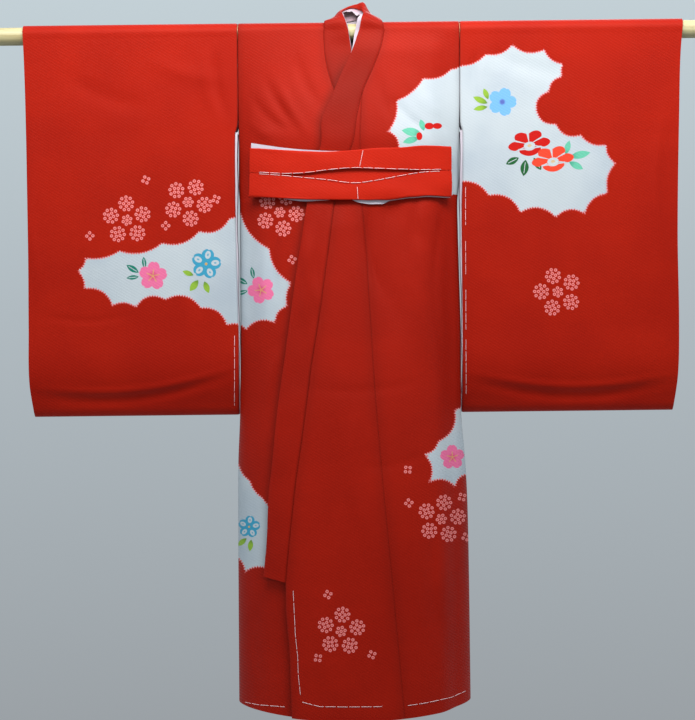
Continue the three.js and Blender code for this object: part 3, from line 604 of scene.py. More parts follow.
class Pattern:
    """Paints motifs over a ground colour, in pattern millimetres."""

    def __init__(self, nodes, ground):
        self.nodes = nodes
        self.x, self.z, _ = nodes.attribute("pattern")
        self.tint = ground

    def paint(self, mask, tint):
        """Lays a tint over the ground where the mask is 1."""
        self.tint = self.nodes.mix(mask, self.tint, tint)

    def local(self, x, z, turn):
        """Distances along and across a direction, from a middle."""
        cos, sin = math.cos(math.radians(turn)), math.sin(math.radians(turn))
        dx, dz = self.x - x, self.z - z
        return dx * cos + dz * sin, dz * cos - dx * sin

    def folded(self, u, v, parts):
        """The same place folded into one of equal sectors round the middle, and where in it."""
        radius = (u * u + v * v).math("SQRT")
        sector = v.math("ARCTAN2", u) * (parts / (2 * math.pi)) + 0.5
        share = sector - sector.math("FLOOR") - 0.5
        angle = share * (2 * math.pi / parts)
        return radius * angle.math("COSINE"), radius * angle.math("SINE"), share

    def blossom(self, x, z, radius, turn, kind):
        """Five round petals: circles set round the middle, notched at their tips."""
        u, v = self.local(x, z, turn)
        a, b, share = self.folded(u, v, 5)
        reach = ((a - 0.58 * radius) * (a - 0.58 * radius) + b * b).math("SQRT")
        petal = reach.step(0.43 * radius, 0.38 * radius)
        tip = ((a - 1.04 * radius) * (a - 1.04 * radius) + b * b).math("SQRT")
        notch = tip.step(0.07 * radius, 0.15 * radius)
        middle = (u * u + v * v).math("SQRT")
        mask = (petal * notch).at_least(middle.step(0.34 * radius, 0.28 * radius))
        if kind == "pink":
            self.paint(mask, PINK)
            self.paint(middle.step(0.42 * radius, 0.12 * radius) * 0.7, PINK_DEEP)
            thread = abs(b).step(0.045 * radius, 0.02 * radius)
            self.paint(thread * middle.step(0.5 * radius, 0.42 * radius) * 0.8, GOLD)
        elif kind == "sky":
            self.paint(mask, SKY)
            self.paint(middle.step(0.26 * radius, 0.1 * radius) * 0.85, VIOLET)
        else:
            self.paint(mask, BLUE)
            drop = (a - 0.6 * radius) * (a - 0.6 * radius) * 0.5 + b * b
            self.paint(drop.math("SQRT").step(0.21 * radius, 0.16 * radius), WHITE)
            self.paint(drop.math("SQRT").step(0.08 * radius, 0.04 * radius) * 0.8, BLUE)
            self.paint(middle.step(0.12 * radius, 0.06 * radius), GOLD)

    def petals(self, x, z):
        """What shows of a camellia above the band: two upper petals and one at the side."""
        for dx, dz, half_wide, half_high in ((-5, 1, 7, 5), (7, 1, 7, 4.5), (-20, -14, 4.5, 6)):
            u, v = (self.x - (x + dx)) * (1 / half_wide), (self.z - (z + dz)) * (1 / half_high)
            self.paint((u * u + v * v).math("SQRT").step(1.05, 0.95), CAMELLIA_RED)

    def camellia(self, x, z, petal_colour):
        """A broad open flower: a flattened ring of petals parted by white lines, over a curved lip."""
        u, v = self.local(x, z, 8)
        high = v * 1.5
        a, b, share = self.folded(u, high - 3, 6)
        petal = ((a - 17) * (a - 17) * 0.55 + b * b).math("SQRT").step(11.4, 10.6)
        parted = abs(share).step(0.46, 0.4)
        upper = v.step(-7.5, -6.0)
        self.paint(petal * parted * upper, petal_colour)
        core = (u * u + high * high).math("SQRT")
        self.paint(core.step(9.0, 8.0), WHITE)
        self.paint(core.step(4.0, 2.4) * 0.7, GOLD)
        bowl = ((u * u + (v - 6) * (v - 6)).math("SQRT") - 17.5)
        lip = abs(bowl).step(4.3, 3.7) * v.step(-4.5, -5.5) * abs(u).step(17.0, 15.6)
        gap = abs(bowl).step(6.2, 5.6) * v.step(-2.0, -4.0) * abs(u).step(18.5, 17.0)
        self.paint(gap, WHITE)
        self.paint(lip, petal_colour)

    def leaf(self, x, z, length, width, turn, kind):
        """A pointed leaf: its half width is a parabola along its length, with a pale midrib."""
        tints = {"teal": (TEAL, WHITE), "spring": (SPRING_GREEN, DARK_GREEN), "dark": (DARK_GREEN, WHITE),
                 "mint": (MINT, TEAL)}
        body, rib = tints[kind]
        u, v = self.local(x, z, turn)
        share = u / length
        half = share * (1 - share) * (2.3 * width)
        mask = (half - abs(v)).step(-0.2, 0.5) * share.step(0.0, 0.04)
        self.paint(mask, body)
        if kind in ("teal", "dark"):
            self.paint(abs(v).step(0.7, 0.3) * share.step(0.12, 0.2) * share.step(0.86, 0.78), rib)
        else:
            self.paint(mask * share.step(0.5, 0.0) * 0.55, rib)

    def ring(self, distance, size=2.8):
        """A small tie-dyed ring with a darker core."""
        self.paint(distance.step(size, size - 0.7), RING_PINK)
        self.paint(distance.step(1.25, 0.6), RING_CORE)

    def ring_round(self, u, v, parts, radius, size=2.8):
        """Equal rings in a circle round a middle."""
        a, b, _ = self.folded(u, v, parts)
        self.ring(((a - radius) * (a - radius) + b * b).math("SQRT"), size)

    def ring_cluster(self, x, z, turn):
        """Five round groups of rings about a smaller one, like a plum blossom."""
        u, v = self.local(x, z, turn)
        a, b, _ = self.folded(u, v, 5)
        self.ring_round(a - 25.0, b, 9, 9.7)
        self.ring_round(a - 25.0, b, 4, 4.0)
        self.ring_round(u, v, 6, 6.0)
        self.ring((u * u + v * v).math("SQRT"))

    def ring_four(self, x, z, turn):
        """A small group of four rings."""
        u, v = self.local(x, z, turn)
        self.ring_round(u, v, 4, 4.6)


FIGURE_PERIOD = 7.6
FIGURE_SLOPE = 1.7
TOOTH_PERIOD = 3.9


def silk_figure(nodes, x, z):
    """Woven self-pattern: a small slanted key fret, from two sets of diagonal bars that meet in steps."""
    s = (x + z * FIGURE_SLOPE) * (1 / FIGURE_PERIOD)
    t = (x - z * FIGURE_SLOPE) * (1 / FIGURE_PERIOD)
    s_share = abs(s - s.math("FLOOR") - 0.5)
    t_share = abs(t - t.math("FLOOR") - 0.5)
    s_bar = s_share.step(0.16, 0.08) * t_share.step(0.08, 0.18)
    t_bar = t_share.step(0.16, 0.08) * s_share.step(0.32, 0.22)
    return s_bar.at_least(t_bar)


def silk_material(name, motifs, red_light=RED, red_dark=RED_DARK):
    """Red figured silk crepe with the dyed clouds and the motifs of one piece painted on it, and painted
    shade by its seams, in hollows and over the chest.
    """
    nodes = Nodes(name)
    x, z, _ = nodes.attribute("pattern")
    place = nodes.add("ShaderNodeTexCoord", output=3)
    figure = silk_figure(nodes, x, z)
    cloudy = nodes.noise(place, 9.0, 3.0)
    stretched = nodes.add("ShaderNodeMapping", {}, {"Vector": place, "Scale": (3.0, 3.0, 40.0)})
    bands = nodes.noise(stretched, 1.0, 2.0)
    red = nodes.mix(cloudy.step(0.3, 0.72), red_dark, red_light)
    red = nodes.mix(bands.step(0.4, 0.7) * 0.25, red, red_dark)
    red = nodes.mix(figure * 0.24, red, FIGURE_RED)
    # The attribute's third number is the weight of the painted shade on each point
    inside, edge_length, seam = nodes.attribute("dye")
    teeth = edge_length * (1 / TOOTH_PERIOD)
    tooth = abs(teeth - teeth.math("FLOOR") - 0.5) * 5.0
    fray = nodes.noise(place, 420.0, 1.0) * 2.0
    border = inside + tooth + fray - 3.0
    pale = nodes.mix(cloudy.step(0.35, 0.75), WHITE, WHITE_SHADE)
    pale = nodes.mix(figure * 0.25, pale, WHITE_SHADE)
    ground = nodes.mix(border.step(-1.8, -0.4), red, EDGE_PINK)
    ground = nodes.mix(border.step(-0.4, 0.6), ground, pale)
    pattern = Pattern(nodes, ground)
    for row in RING_CLUSTERS.get(motifs, []):
        pattern.ring_cluster(*row)
    for row in RING_FOURS.get(motifs, []):
        pattern.ring_four(*row)
    for row in LEAVES.get(motifs, []):
        pattern.leaf(*row)
    for flower_x, flower_z, radius, turn, kind in BLOSSOMS.get(motifs, []):
        if kind == "petals":
            pattern.petals(flower_x, flower_z)
        elif kind in ("camellia", "coral"):
            pattern.camellia(flower_x, flower_z, CORAL if kind == "coral" else CAMELLIA_RED)
        else:
            pattern.blossom(flower_x, flower_z, radius, turn, kind)
    # Painted shade: the red is darkened towards SEAM_SHADE by that weight
    pattern.paint(seam * 0.36, SEAM_SHADE)
    crepe = nodes.noise(place, 1500.0, 2.0)
    height = figure * 0.8 + crepe * 0.8
    bump = nodes.add("ShaderNodeBump", {}, {"Strength": 0.3, "Distance": 0.0005, "Height": height})
    shader = nodes.add("ShaderNodeBsdfPrincipled", {}, {
        "Base Color": pattern.tint, "Roughness": 0.6 - figure * 0.15, "Normal": bump,
        "Specular IOR Level": 0.2, "Specular Tint": (1.0, 0.4, 0.32, 1.0),
    })
    return nodes.finish(shader)


def lining_material():
    """Plain white silk lining with a faint pink cast and a fine weave, turned mauve where painted shade
    lies on it.
    """
    nodes = Nodes("white_silk_lining")
    place = nodes.add("ShaderNodeTexCoord", output=3)
    weave = nodes.noise(place, 1300.0, 2.0)
    soft = nodes.noise(place, 14.0, 2.0)
    tint = nodes.mix(soft.step(0.35, 0.7), colour(180, 172, 182), colour(168, 158, 170))
    # Painted shade: the lining is mixed towards mauve by the weight that the piece carries
    _, _, shade = nodes.attribute("dye")
    tint = nodes.mix(shade, tint, colour(146, 110, 122))
    bump = nodes.add("ShaderNodeBump", {}, {"Strength": 0.25, "Distance": 0.0003, "Height": weave})
    shader = nodes.add("ShaderNodeBsdfPrincipled", {}, {
        "Base Color": tint, "Roughness": weave * 0.1 + 0.5, "Normal": bump, "Specular IOR Level": 0.3,
    })
    return nodes.finish(shader)


LINING = lining_material()


def shell(inner, outer, closed_rows=False):
    """Closed wall between two equal grids of points: both faces and the strips along its edges."""
    rows, columns = inner.shape[:2]
    total = rows * columns
    face = grid_quads(rows, columns, closed_rows=closed_rows)
    number = np.arange(total).reshape(rows, columns)
    rims = []

    def rim(line):
        rims.append(np.stack([line[:-1], line[1:], line[1:] + total, line[:-1] + total], axis=1))

    left, right = number[:, 0], number[::-1, -1]
    if closed_rows:
        left = np.append(left, left[0])
        right = np.append(right, right[0])
    rim(left)
    rim(right)
    if not closed_rows:
        rim(number[-1])
        rim(number[0, ::-1])
    faces = np.concatenate([face, face[:, ::-1] + total, *rims])
    which = np.concatenate([np.ones(len(face)), np.zeros(len(face)), np.zeros(sum(map(len, rims)))])
    points = np.concatenate([inner.reshape(-1, 3), outer.reshape(-1, 3)])
    a, b, c, d = (points[faces[:, k]] for k in range(4))
    volume = np.einsum("ij,ij->", a, np.cross(b, c)) + np.einsum("ij,ij->", a, np.cross(c, d))
    if volume < 0:
        faces = faces[:, ::-1]
    return points, faces, which


def cloth_piece(name, inner, outer, seam, material, clouds=(), closed_rows=False, layer_slot="red_silk",
                tucked=False, inside_material=None):
    """A cloth wall with its pattern, dye and painted shade laid on, red outside and white lining inside.

    seam is how deep each point lies in the painted shade beside a seam, in a hollow or round the neck,
    from 0 to 1. A tucked piece has no cloud between the tuck behind the band and CLEAR_BELOW.
    """
    points, faces, which = shell(inner, outer, closed_rows)
    place = pattern_place(points)
    field = dye_field(place, clouds) if clouds else np.full((len(points), 3), OUTSIDE)
    if tucked:
        clear = (place[:, 1] < TUCK_TOP) & (place[:, 1] > CLEAR_BELOW)
        field[:, 0] = np.where(clear, OUTSIDE, field[:, 0])
    seam = np.broadcast_to(seam, inner.shape[:2]).ravel()
    # The field's third number carries the painted shade
    field[:, 2] = np.concatenate([seam, seam])
    layers = {"pattern": place, "dye": field}
    materials = [material, inside_material or LINING]
    piece = make_piece(name, points, faces, materials, which, layers)
    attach(piece, "root")
    return piece


def panel_rows(step=5.0):
    """Row heights from the top of the shoulder down to the nominal hem."""
    shoulder = math.radians(SHOULDER_ANGLE) * FOLD_RADIUS
    top = np.linspace(shoulder, 0, 8)[:-1]
    down = np.arange(0, NOMINAL_HEM, -step)
    tuck = np.linspace(TUCK_TOP, TUCK_BOTTOM, 6)[1:-1]
    return np.concatenate([top, np.sort(np.concatenate([down, tuck, [NOMINAL_HEM, -COLLAR_END]]))[::-1]])


# The dent beside a seam: how deep and wide it is, how dark the painted shade in it is, and how wide and
# dark the faint painted shade round it is
SEAM_DEPTH = 0.8
SEAM_REACH = 1.0
DENT_SHADE = 0.85
SHADE_REACH = 7.0
OUTER_SHADE = 0.42


def seam_weight(u, width):
    """1 on the two turned edges of a panel and a bell-shaped fall to 0 beside them."""
    edge = np.minimum(u, 1 - u) * width
    return np.exp(-((edge / SEAM_REACH) ** 2))


def soft_shade(u, width):
    """A narrow deep painted shade in a seam's dent with a wide faint painted shade round it."""
    edge = np.minimum(u, 1 - u) * width
    wide = OUTER_SHADE * np.exp(-((edge / SHADE_REACH) ** 2))
    return np.maximum(DENT_SHADE * seam_weight(u, width), wide)


def edge_packed(columns):
    """Shares across a panel, closer together beside its two seams."""
    even = np.linspace(0, 1, columns)
    return np.unique(np.concatenate([[0, 0.008, 0.02, 0.98, 0.992, 1], even]))


def panel(face, rows, columns, left_turn, right_turn, layer):
    """Inner and outer grids of a body panel between two seam lines, and the weight of its painted seam
    shade.
    """
    u = edge_packed(columns)
    h, share = np.meshgrid(rows, u, indexing="ij")
    turn = left_turn(h) * (1 - share) + right_turn(h) * share
    height = reach(h, hem_height(face, turn))
    base = layer(turn, height)
    width = np.abs(right_turn(h) - left_turn(h)) * HALF_WIDTH
    seam = seam_weight(share, width)
    outer = body_layer(face, turn, height, base + SILK - SEAM_DEPTH * seam)
    return body_layer(face, turn, height, base), outer, soft_shade(share, width)


def over_seam(z):
    """Where the collar is sewn to the left front, across, from the middle."""
    return along(COLLAR_LINES, z, "seam")


def under_seam(z):
    """Where it is sewn to the right front: its own line by the neck, then the left one mirrored."""
    return np.where(z > UNDER_NECK_END, along(UNDER_NECK, z, "seam"), -over_seam(z))


def okumi_edge(z):
    """Free side of the left overlap panel: along the collar's seam and then along its own edge."""
    return np.where(z > -COLLAR_END, over_seam(z) + HALF_SEAM, along(PANEL_EDGE, z, "x"))


def front_edge_left(h):
    """Inner side of the left front: the collar's seam, the overlap panel's, and the neck above 0."""
    low = np.where(h > OKUMI_TOP, over_seam(h), along(FRONT_SEAM, h, "x")) + HALF_SEAM
    return np.where(h > 0, NECK_SIDE_LEFT - NECK_TUCK * smooth(TUCK_FROM, TUCK_TO, h), low)


def front_edge_right(h):
    """Inner side of the right front, in the same three parts."""
    low = np.where(h > OKUMI_TOP, under_seam(h), -along(FRONT_SEAM, h, "x")) - HALF_SEAM
    return np.where(h > 0, NECK_SIDE_RIGHT + NECK_TUCK * smooth(TUCK_FROM, TUCK_TO, h), low)


def flat_layer(turn, h):
    """Distance 0 from the body's surface, for what lies lowest."""
    return np.zeros_like(turn)


rows = panel_rows()
front_left = cloth_piece(
    "front_left_silk",
    *panel(-1, rows, 44, lambda h: turn_at(front_edge_left(h), h), lambda h: np.ones_like(h),
           over_distance),
    silk_material("red_silk_front_left", "front_left", SHADED_BODY_RED, SHADED_BODY_RED_DARK),
    clouds=("shoulder", "hip"), tucked=True,
)
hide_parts("front_left")

# The hollow beside the upper front's edge: how wide the shade painted in it is, and where it fades out
# upwards
HOLLOW_REACH = 9
HOLLOW_TOP = -50
HOLLOW_FADE = 20


def hollow_shade(points):
    """How deep a point under the upper front lies in the hollow outside that front's free edge, as the
    weight of the shade painted there.
    """
    z = np.minimum(points[..., 2], 0)
    edge = np.where(z > -COLLAR_END, along(COLLAR_LINES, z, "free"), along(PANEL_EDGE, z, "x"))
    outside = edge + along(BODY_SECTIONS, z, "shift") - points[..., 0]
    near = np.exp(-((np.maximum(outside, 0) / HOLLOW_REACH) ** 2))
    return near * smooth(-HOLLOW_TOP - HOLLOW_FADE, -HOLLOW_TOP + HOLLOW_FADE, -z)


def under_front_grids():
    """The lower front's grids, with painted shade in the hollow just outside the upper front's free edge.
    """
    inner, outer, seam = panel(
        -1, rows, 44, lambda h: -np.ones_like(h), lambda h: turn_at(front_edge_right(h), h),
        flat_layer)
    return inner, outer, np.maximum(seam, hollow_shade(inner))


front_right = cloth_piece(
    "front_right_silk", *under_front_grids(),
    silk_material("red_silk_front_right", "front_right", SHADED_BODY_RED, SHADED_BODY_RED_DARK),
    clouds=("low_sleeve", "knee"),
)
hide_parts("front_right")


# The notch in the back's top edge: where its two slopes begin and end, and its angle on the pole
NECK_NOTCH = (-46, -38, 46, 54)
NOTCH_ANGLE = 28


def back_grids():
    """The back's grids: as a panel, but its top edge is cut away behind the neck."""
    start, left, right, end = NECK_NOTCH
    across = np.unique(np.concatenate([
        np.linspace(-HALF_WIDTH, HALF_WIDTH, 76), np.linspace(start - 4, left, 9),
        np.linspace(right, end + 2, 9)]))
    h, place = np.meshgrid(rows, across, indexing="ij")
    turn = turn_at(place / HALF_WIDTH * along(BODY_SECTIONS, np.minimum(h, 0), "half"), h)
    open_part = smooth(start, left, place) * (1 - smooth(right, end, place))
    shoulder = math.radians(SHOULDER_ANGLE) * FOLD_RADIUS
    top = shoulder + (math.radians(NOTCH_ANGLE) * FOLD_RADIUS - shoulder) * open_part
    height = np.where(h > 0, h / shoulder * top, reach(h, hem_height(1, turn)))
    return body_layer(1, turn, height, 0 * turn), body_layer(1, turn, height, 0 * turn + SILK), 0.0


back = cloth_piece(
    "back_silk", *back_grids(), silk_material("red_silk_back", "back", SHADED_BODY_RED, SHADED_BODY_RED_DARK),
    clouds=("low_sleeve_back", "shoulder_back", "hip_back", "knee_back"),
)
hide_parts("back")

# Overlap panels. A long wedge of the same silk sewn to the front edge of each front, so that
# the fronts can cross; the left one lies on top and the right one is hidden under it.
okumi_rows = rows[rows <= OKUMI_TOP]
okumi_left = cloth_piece(
    "okumi_left_silk",
    *panel(-1, okumi_rows, 40, lambda h: turn_at(okumi_edge(h), h),
           lambda h: turn_at(along(FRONT_SEAM, h, "x") - HALF_SEAM, h), over_distance),
    silk_material("red_silk_okumi_left", "okumi_left", SHADED_BODY_RED, SHADED_BODY_RED_DARK),
)
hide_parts("okumi_left")

okumi_right = cloth_piece(
    "okumi_right_silk",
    *panel(-1, okumi_rows, 24, lambda h: turn_at(-along(FRONT_SEAM, h, "x") + HALF_SEAM, h),
           lambda h: turn_at(-okumi_edge(h), h), flat_layer),
    silk_material("red_silk_okumi_right", "okumi_right"),
)
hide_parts("okumi_right")

# Collar. One band of the red silk folded lengthwise and sewn to the neck and both front
# edges. It stands up behind the neck and its white lining shows inside the opening.
COLLAR_SILK = 2.2
NECK_LEAN = 3.4
COLLAR_END_SLOPE = 0.24
SLOPE_FROM = -770
COLLAR_WIDTH = 30
# Stations round the neck: places of the sewn edge, of the bend and of the free edge
NECK_RING = {
    "sx": [49.5, 48.5, 47.2, 45, 37.5, 27, 14, 1, -12, -24.5, -33, -36.3, -37.5],
    "sy": [-12.8, -1.5, 4.6, 9.8, 14.2, 14.8, 15.1, 15.1, 15.1, 14.6, 12, 3, -12],
    "sz": [10.6, 16.8, 15.8, 13.8, 9, 7.6, 7.1, 7.1, 7.1, 8, 11.6, 16.6, 12.6],
    "bx": [33.5, 33.4, 28.6, 23.1, 21.7, 21, 10, -1, -11, -19, -21.5, -27.5, -24.5],
    "by": [-16, -8, -4, 0, 9, 14, 19, 19.5, 16.5, 11, 4, -4.5, -16],
    "bz": [14.5, 24, 29.6, 36.4, 54, 68, 60, 50.4, 44, 36.5, 24.8, 19.5, 16.5],
    "fx": [17.3, 20, 20.7, 20.8, 20, 17.5, 12, 3.5, -3.8, -8.7, -10.8, -9.5, -6],
    "fy": [-17.5, -13.5, -11, -8.5, -2.5, 4, 8.5, 10, 8, 3.5, -3.5, -10, -16.5],
    "fz": [16, 24.5, 26.8, 28.5, 31.3, 34, 37, 38.8, 36.5, 33.5, 30.5, 25, 15],
}
RING_COUNT = 13
COLLAR_STEP = 25


def collar_front(side, z, share):
    """The collar's flat stretch on one front, between its seam and its free edge."""
    over = side > 0
    seam = along(COLLAR_LINES, z, "seam")
    free = along(COLLAR_LINES, z, "free")
    if not over:
        seam = np.where(z > UNDER_NECK_END, along(UNDER_NECK, z, "seam"), -seam)
        free = np.where(z > UNDER_NECK_END, along(UNDER_NECK, z, "free"), -free)
    x = seam - side * HALF_SEAM + (free - seam) * share
    low = np.clip((SLOPE_FROM - z) / (SLOPE_FROM + COLLAR_END), 0, 1)
    slant = COLLAR_END_SLOPE * np.abs(x - seam) * low
    turn = turn_at(x, z + slant)
    lean = NECK_LEAN * share * (smooth(-45, -5, z) if over else smooth(-25, 0, z))
    base = over_distance(turn, z) if over else np.zeros_like(turn)
    return body_layer(-1, turn, z + slant, base + lean)


def collar_edges():
    """Table of the three lines round the neck, with two rows of each front at its ends."""
    table = {"at": np.arange(-2, RING_COUNT + 2)}
    shares = np.array([[0.0, 0.5, 1.0]])
    height = np.array([[-12.0], [0.0]]) + 0 * shares
    left = collar_front(1, height, shares + 0 * height)
    right = collar_front(-1, height, shares + 0 * height)[::-1]
    for axis, letter in enumerate("xyz"):
        for line, prefix in enumerate("sbf"):
            middle = NECK_RING[prefix + letter]
            table[prefix + letter] = np.concatenate([left[:, line, axis], middle, right[:, line, axis]])
    return table


NECK_EDGES = collar_edges()


def collar_surface(station, share):
    """Collar's point at a station along it and a share of its width from sewn to free edge.

    Stations 0 to RING_COUNT - 1 lie round the neck, where the section is a parabola drawn from
    the sewn edge towards the bend and over to the free edge. Those before count steps down the
    left front from -1, and those after count steps down the right front.
    """
    left = collar_front(1, np.minimum(0, (station + 1) * COLLAR_STEP), share)
    right = collar_front(-1, np.minimum(0, (RING_COUNT - station) * COLLAR_STEP), share)
    sewn, bend, free = (
        np.stack([along(NECK_EDGES, station, line + axis, "at") for axis in "xyz"], axis=-1)
        for line in "sbf")
    w = share[..., None]
    neck = sewn * (1 - w) ** 2 + bend * 2 * w * (1 - w) + free * w**2
    place = np.where((station <= -1)[..., None], left, neck)
    return np.where((station >= RING_COUNT)[..., None], right, place)


def grid_normals(points, closed_rows=False):
    """Unit normals of a grid of points, from the differences of its rows and columns."""
    if closed_rows:
        down = np.roll(points, -1, axis=0) - np.roll(points, 1, axis=0)
    else:
        down = np.gradient(points, axis=0)
    out = np.cross(down, np.gradient(points, axis=1))
    return out / np.linalg.norm(out, axis=-1, keepdims=True)


# The collar has a soft shade painted over the chest, and on its lower side a painted shade in the hollow
# under the upper
CHEST_SHADE = 0.95
CHEST_SHADE_AT = -80
CHEST_SHADE_REACH = 84
UNDER_SHADE = 0.6

collar_stations = np.concatenate([
    -1 - np.linspace(COLLAR_END / COLLAR_STEP, 0, 162),
    np.linspace(-1, RING_COUNT, 92)[1:-1],
    RING_COUNT + np.linspace(0, COLLAR_END / COLLAR_STEP, 162),
])
station, share = np.meshgrid(collar_stations, edge_packed(13), indexing="ij")
collar_inner = collar_surface(station, share)
collar_out = grid_normals(collar_inner)
collar_wave = 0.35 * np.sin(station * 2.1) * np.sin(share * math.pi)
collar_seam = seam_weight(share, COLLAR_WIDTH)
collar_height = COLLAR_SILK + collar_wave - SEAM_DEPTH * collar_seam
collar_outer = collar_inner + collar_out * collar_height[..., None]
below_middle = (collar_inner[..., 2] - CHEST_SHADE_AT) / CHEST_SHADE_REACH
neck_shade = CHEST_SHADE * np.exp(-(below_middle**2))
neck_shade += np.where(station > RING_COUNT, UNDER_SHADE * hollow_shade(collar_inner), 0)
# Painted shade: the seam's dent on the sewn half, the chest and the hollow
collar_shade = np.maximum(np.where(share < 0.5, collar_seam, 0), neck_shade)
collar = cloth_piece(
    "collar_silk", collar_inner, collar_outer, collar_shade,
    silk_material("red_silk_collar", "collar", SHADED_COLLAR_RED, SHADED_COLLAR_RED_DARK))
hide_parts("collar")

# Collar lining. White silk on the inside of the collar round the neck, which looks out past
# the collar's fold as a narrow pale edge.
LINING_PEEK = {
    "at": list(range(-3, 16)),
    "peek": [-3, 2.0, 5.2, 5.6, 3.8, 3, 2.2, 2, 2.5, 2.5, 2.5, 2.2, 1.5, 1, 0.8, 0.8, 0.8, 0.5, -3],
}
COLLAR_LINING_GAP = 0.6
LINING_SILK = 1.0
# Share of the collar's width at which the lining begins, on the fronts and round the neck
LINING_FROM_FRONT = 0.6
LINING_FROM_RING = 0.17
# Painted shade: a little over the whole collar lining, and more inside the neck away from its lit free
# edge
LINING_SHADE = 0.25
NECK_SHADE = 0.5

peek_stations = np.linspace(-3, RING_COUNT + 2, 120)
station, share = np.meshgrid(peek_stations, np.linspace(0, 1, 17), indexing="ij")
free_edge = collar_surface(station, np.ones_like(share))
edge_gap = 2 * (free_edge - collar_surface(station, np.full_like(share, 0.5)))
peek = along(LINING_PEEK, station, "peek", "at") + 0.3 * np.sin(station * 4.2)
reach_out = 1 + peek / np.linalg.norm(edge_gap, axis=-1)
on_ring = smooth(-1, 0, station) * (1 - smooth(RING_COUNT - 1, RING_COUNT, station))
begin = LINING_FROM_FRONT - (LINING_FROM_FRONT - LINING_FROM_RING) * on_ring
collar_lining_base = collar_surface(station, begin + (reach_out - begin) * share)
lining_out = grid_normals(collar_lining_base)
# Less painted shade on its free edge up to the neck's far side, and on the left front over its whole
# width
lit_edge = smooth(0.88, 0.99, share) * (1 - smooth(8, 11, station))
lit_edge = np.maximum(lit_edge, 1 - smooth(1, 3, station))
collar_lining = cloth_piece(
    "collar_lining_silk", collar_lining_base - lining_out * (COLLAR_LINING_GAP + LINING_SILK),
    collar_lining_base - lining_out * COLLAR_LINING_GAP, LINING_SHADE + NECK_SHADE * (1 - lit_edge),
    LINING, layer_slot="white_lining",
)
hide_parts("collar_lining")

# Sleeves. Each is one width of the red silk folded over the pole and joined along the bottom
# to a deep bag. Cuff and body side stay open, and below the armhole it hangs free.
SLEEVE_DEPTH = 571
SLEEVE_LOW = -555
SLEEVE_WIDTH = 318
STRIP_INNER = 166.3
STRIP_OUTER = 206
STRIP_TOP = -148
STRIP_GAP = 0.3
CUFF_LINES = {
    "z": [15, -40, -110, -300, -440, -520, -571],
    "right": [-488, -486, -484.5, -483, -484, -484.5, -480],
    "left": [498, 493, 490.5, 486, 487, 485, 480],
}
SLEEVE_SECTIONS = {
    "z": [15, -138, -152, -300, -440, -512, -571],
    "inner": [166.1, 166.1, 169.6, 168.2, 167.2, 167, 167.2],
    "gap": [13.8, 13.4, 13.2, 11, 8.6, 7.2, 5],
    "swing": [0, 0, 0, -1.5, -2, -1, 13.5],
}
# Creases of each sleeve's front: both ends across and up, half width, and depth outwards
SLEEVE_CREASES = {
    "right": [
        (-478, -527, -178, -500, 4, 1.8), (-478, -540, -180, -512, 7, -2.4),
        (-470, -418, -330, -421, 4, -0.8), (-430, -60, -300, -110, 14, -1.2),
        (-300, -40, -180, -70, 12, 1.0), (-200, -30, -186, -128, 8, -1.6),
        (-214, -24, -206, -120, 9, 1.2),
        (-470, -150, -466, -380, 9, 1.4), (-240, -180, -228, -420, 16, -1.3),
        (-360, -170, -372, -400, 22, 1.2), (-300, -160, -296, -360, 20, -1.0),
    ],
    "left": [
        (176, -512, 474, -518, 4, 1.8), (178, -526, 472, -532, 7, -2.4),
        (200, -30, 330, -66, 13, -1.1), (186, -34, 192, -128, 8, -1.5), (206, -22, 200, -120, 9, 1.1),
        (468, -120, 470, -360, 9, 1.3), (250, -200, 242, -430, 16, -1.2), (380, -150, 392, -420, 20, 1.1),
        (320, -190, 318, -400, 18, -1.0),
    ],
}


def sleeve_loop():
    """Points of the sleeve's section from back to front: over the pole, down, round and up again."""
    top = np.linspace(0, math.pi, 17)[:-1]
    down = np.linspace(0, SLEEVE_LOW, 124)[:-1]
    under = np.linspace(0, math.pi, 13)[:-1]
    up = down[::-1] + (SLEEVE_LOW - down[-1])

    def face(z, side):
        return along(SLEEVE_SECTIONS, z, "swing") + side * along(SLEEVE_SECTIONS, z, "gap")

    drop = SLEEVE_DEPTH + SLEEVE_LOW - SILK
    gap = along(SLEEVE_SECTIONS, SLEEVE_LOW, "gap")
    middle = along(SLEEVE_SECTIONS, SLEEVE_LOW, "swing")
    y = np.concatenate([
        -FOLD_RADIUS * np.cos(top), face(down, 1),
        middle + gap * np.cos(under) + 0.25 * drop * np.sin(under), face(up, -1),
    ])
    z = np.concatenate([FOLD_RADIUS * np.sin(top), down, SLEEVE_LOW - drop * np.sin(under), up])
    front = np.concatenate([np.zeros(len(top) + len(down) + len(under)), np.ones(len(up))])
    return y, z, front


def loop_normals(y, z):
    """Outward directions of a closed section that runs over the top from front to back."""
    dy = np.roll(y, -1) - np.roll(y, 1)
    dz = np.roll(z, -1) - np.roll(z, 1)
    size = np.hypot(dy, dz)
    return -dz / size, dy / size


def sleeve_grids(side, name, inner_at, outer_at, columns, below=None):
    """Inner and outer walls of a sleeve, between two lines across, on the folded section."""
    y, z, front = sleeve_loop()
    out_y, out_z = loop_normals(y, z)
    if below is not None:
        low = z <= below
        y, z, front, out_y, out_z = (values[low] for values in (y, z, front, out_y, out_z))
    shift = along(BODY_SECTIONS, np.minimum(z, 0), "shift")
    start, end = inner_at(z, shift), outer_at(z, shift)
    u = edge_packed(columns)
    x = start[:, None] + (end - start)[:, None] * u
    flat_y, flat_z = y[:, None] + 0 * x, z[:, None] + 0 * x
    crease = creases(SLEEVE_CREASES[name], x, flat_z) * front[:, None]
    mirrored = [(x0, z0, x1, z1, width * 1.4, -0.8 * depth)
                for x0, z0, x1, z1, width, depth in SLEEVE_CREASES[name][2:]]
    crease += creases(mirrored, x, flat_z) * (1 - front[:, None]) * (flat_z < 0)

    def moved(distance):
        y_moved = flat_y + out_y[:, None] * distance
        return np.stack([x, y_moved, flat_z + out_z[:, None] * distance], axis=-1)

    return moved, crease, u


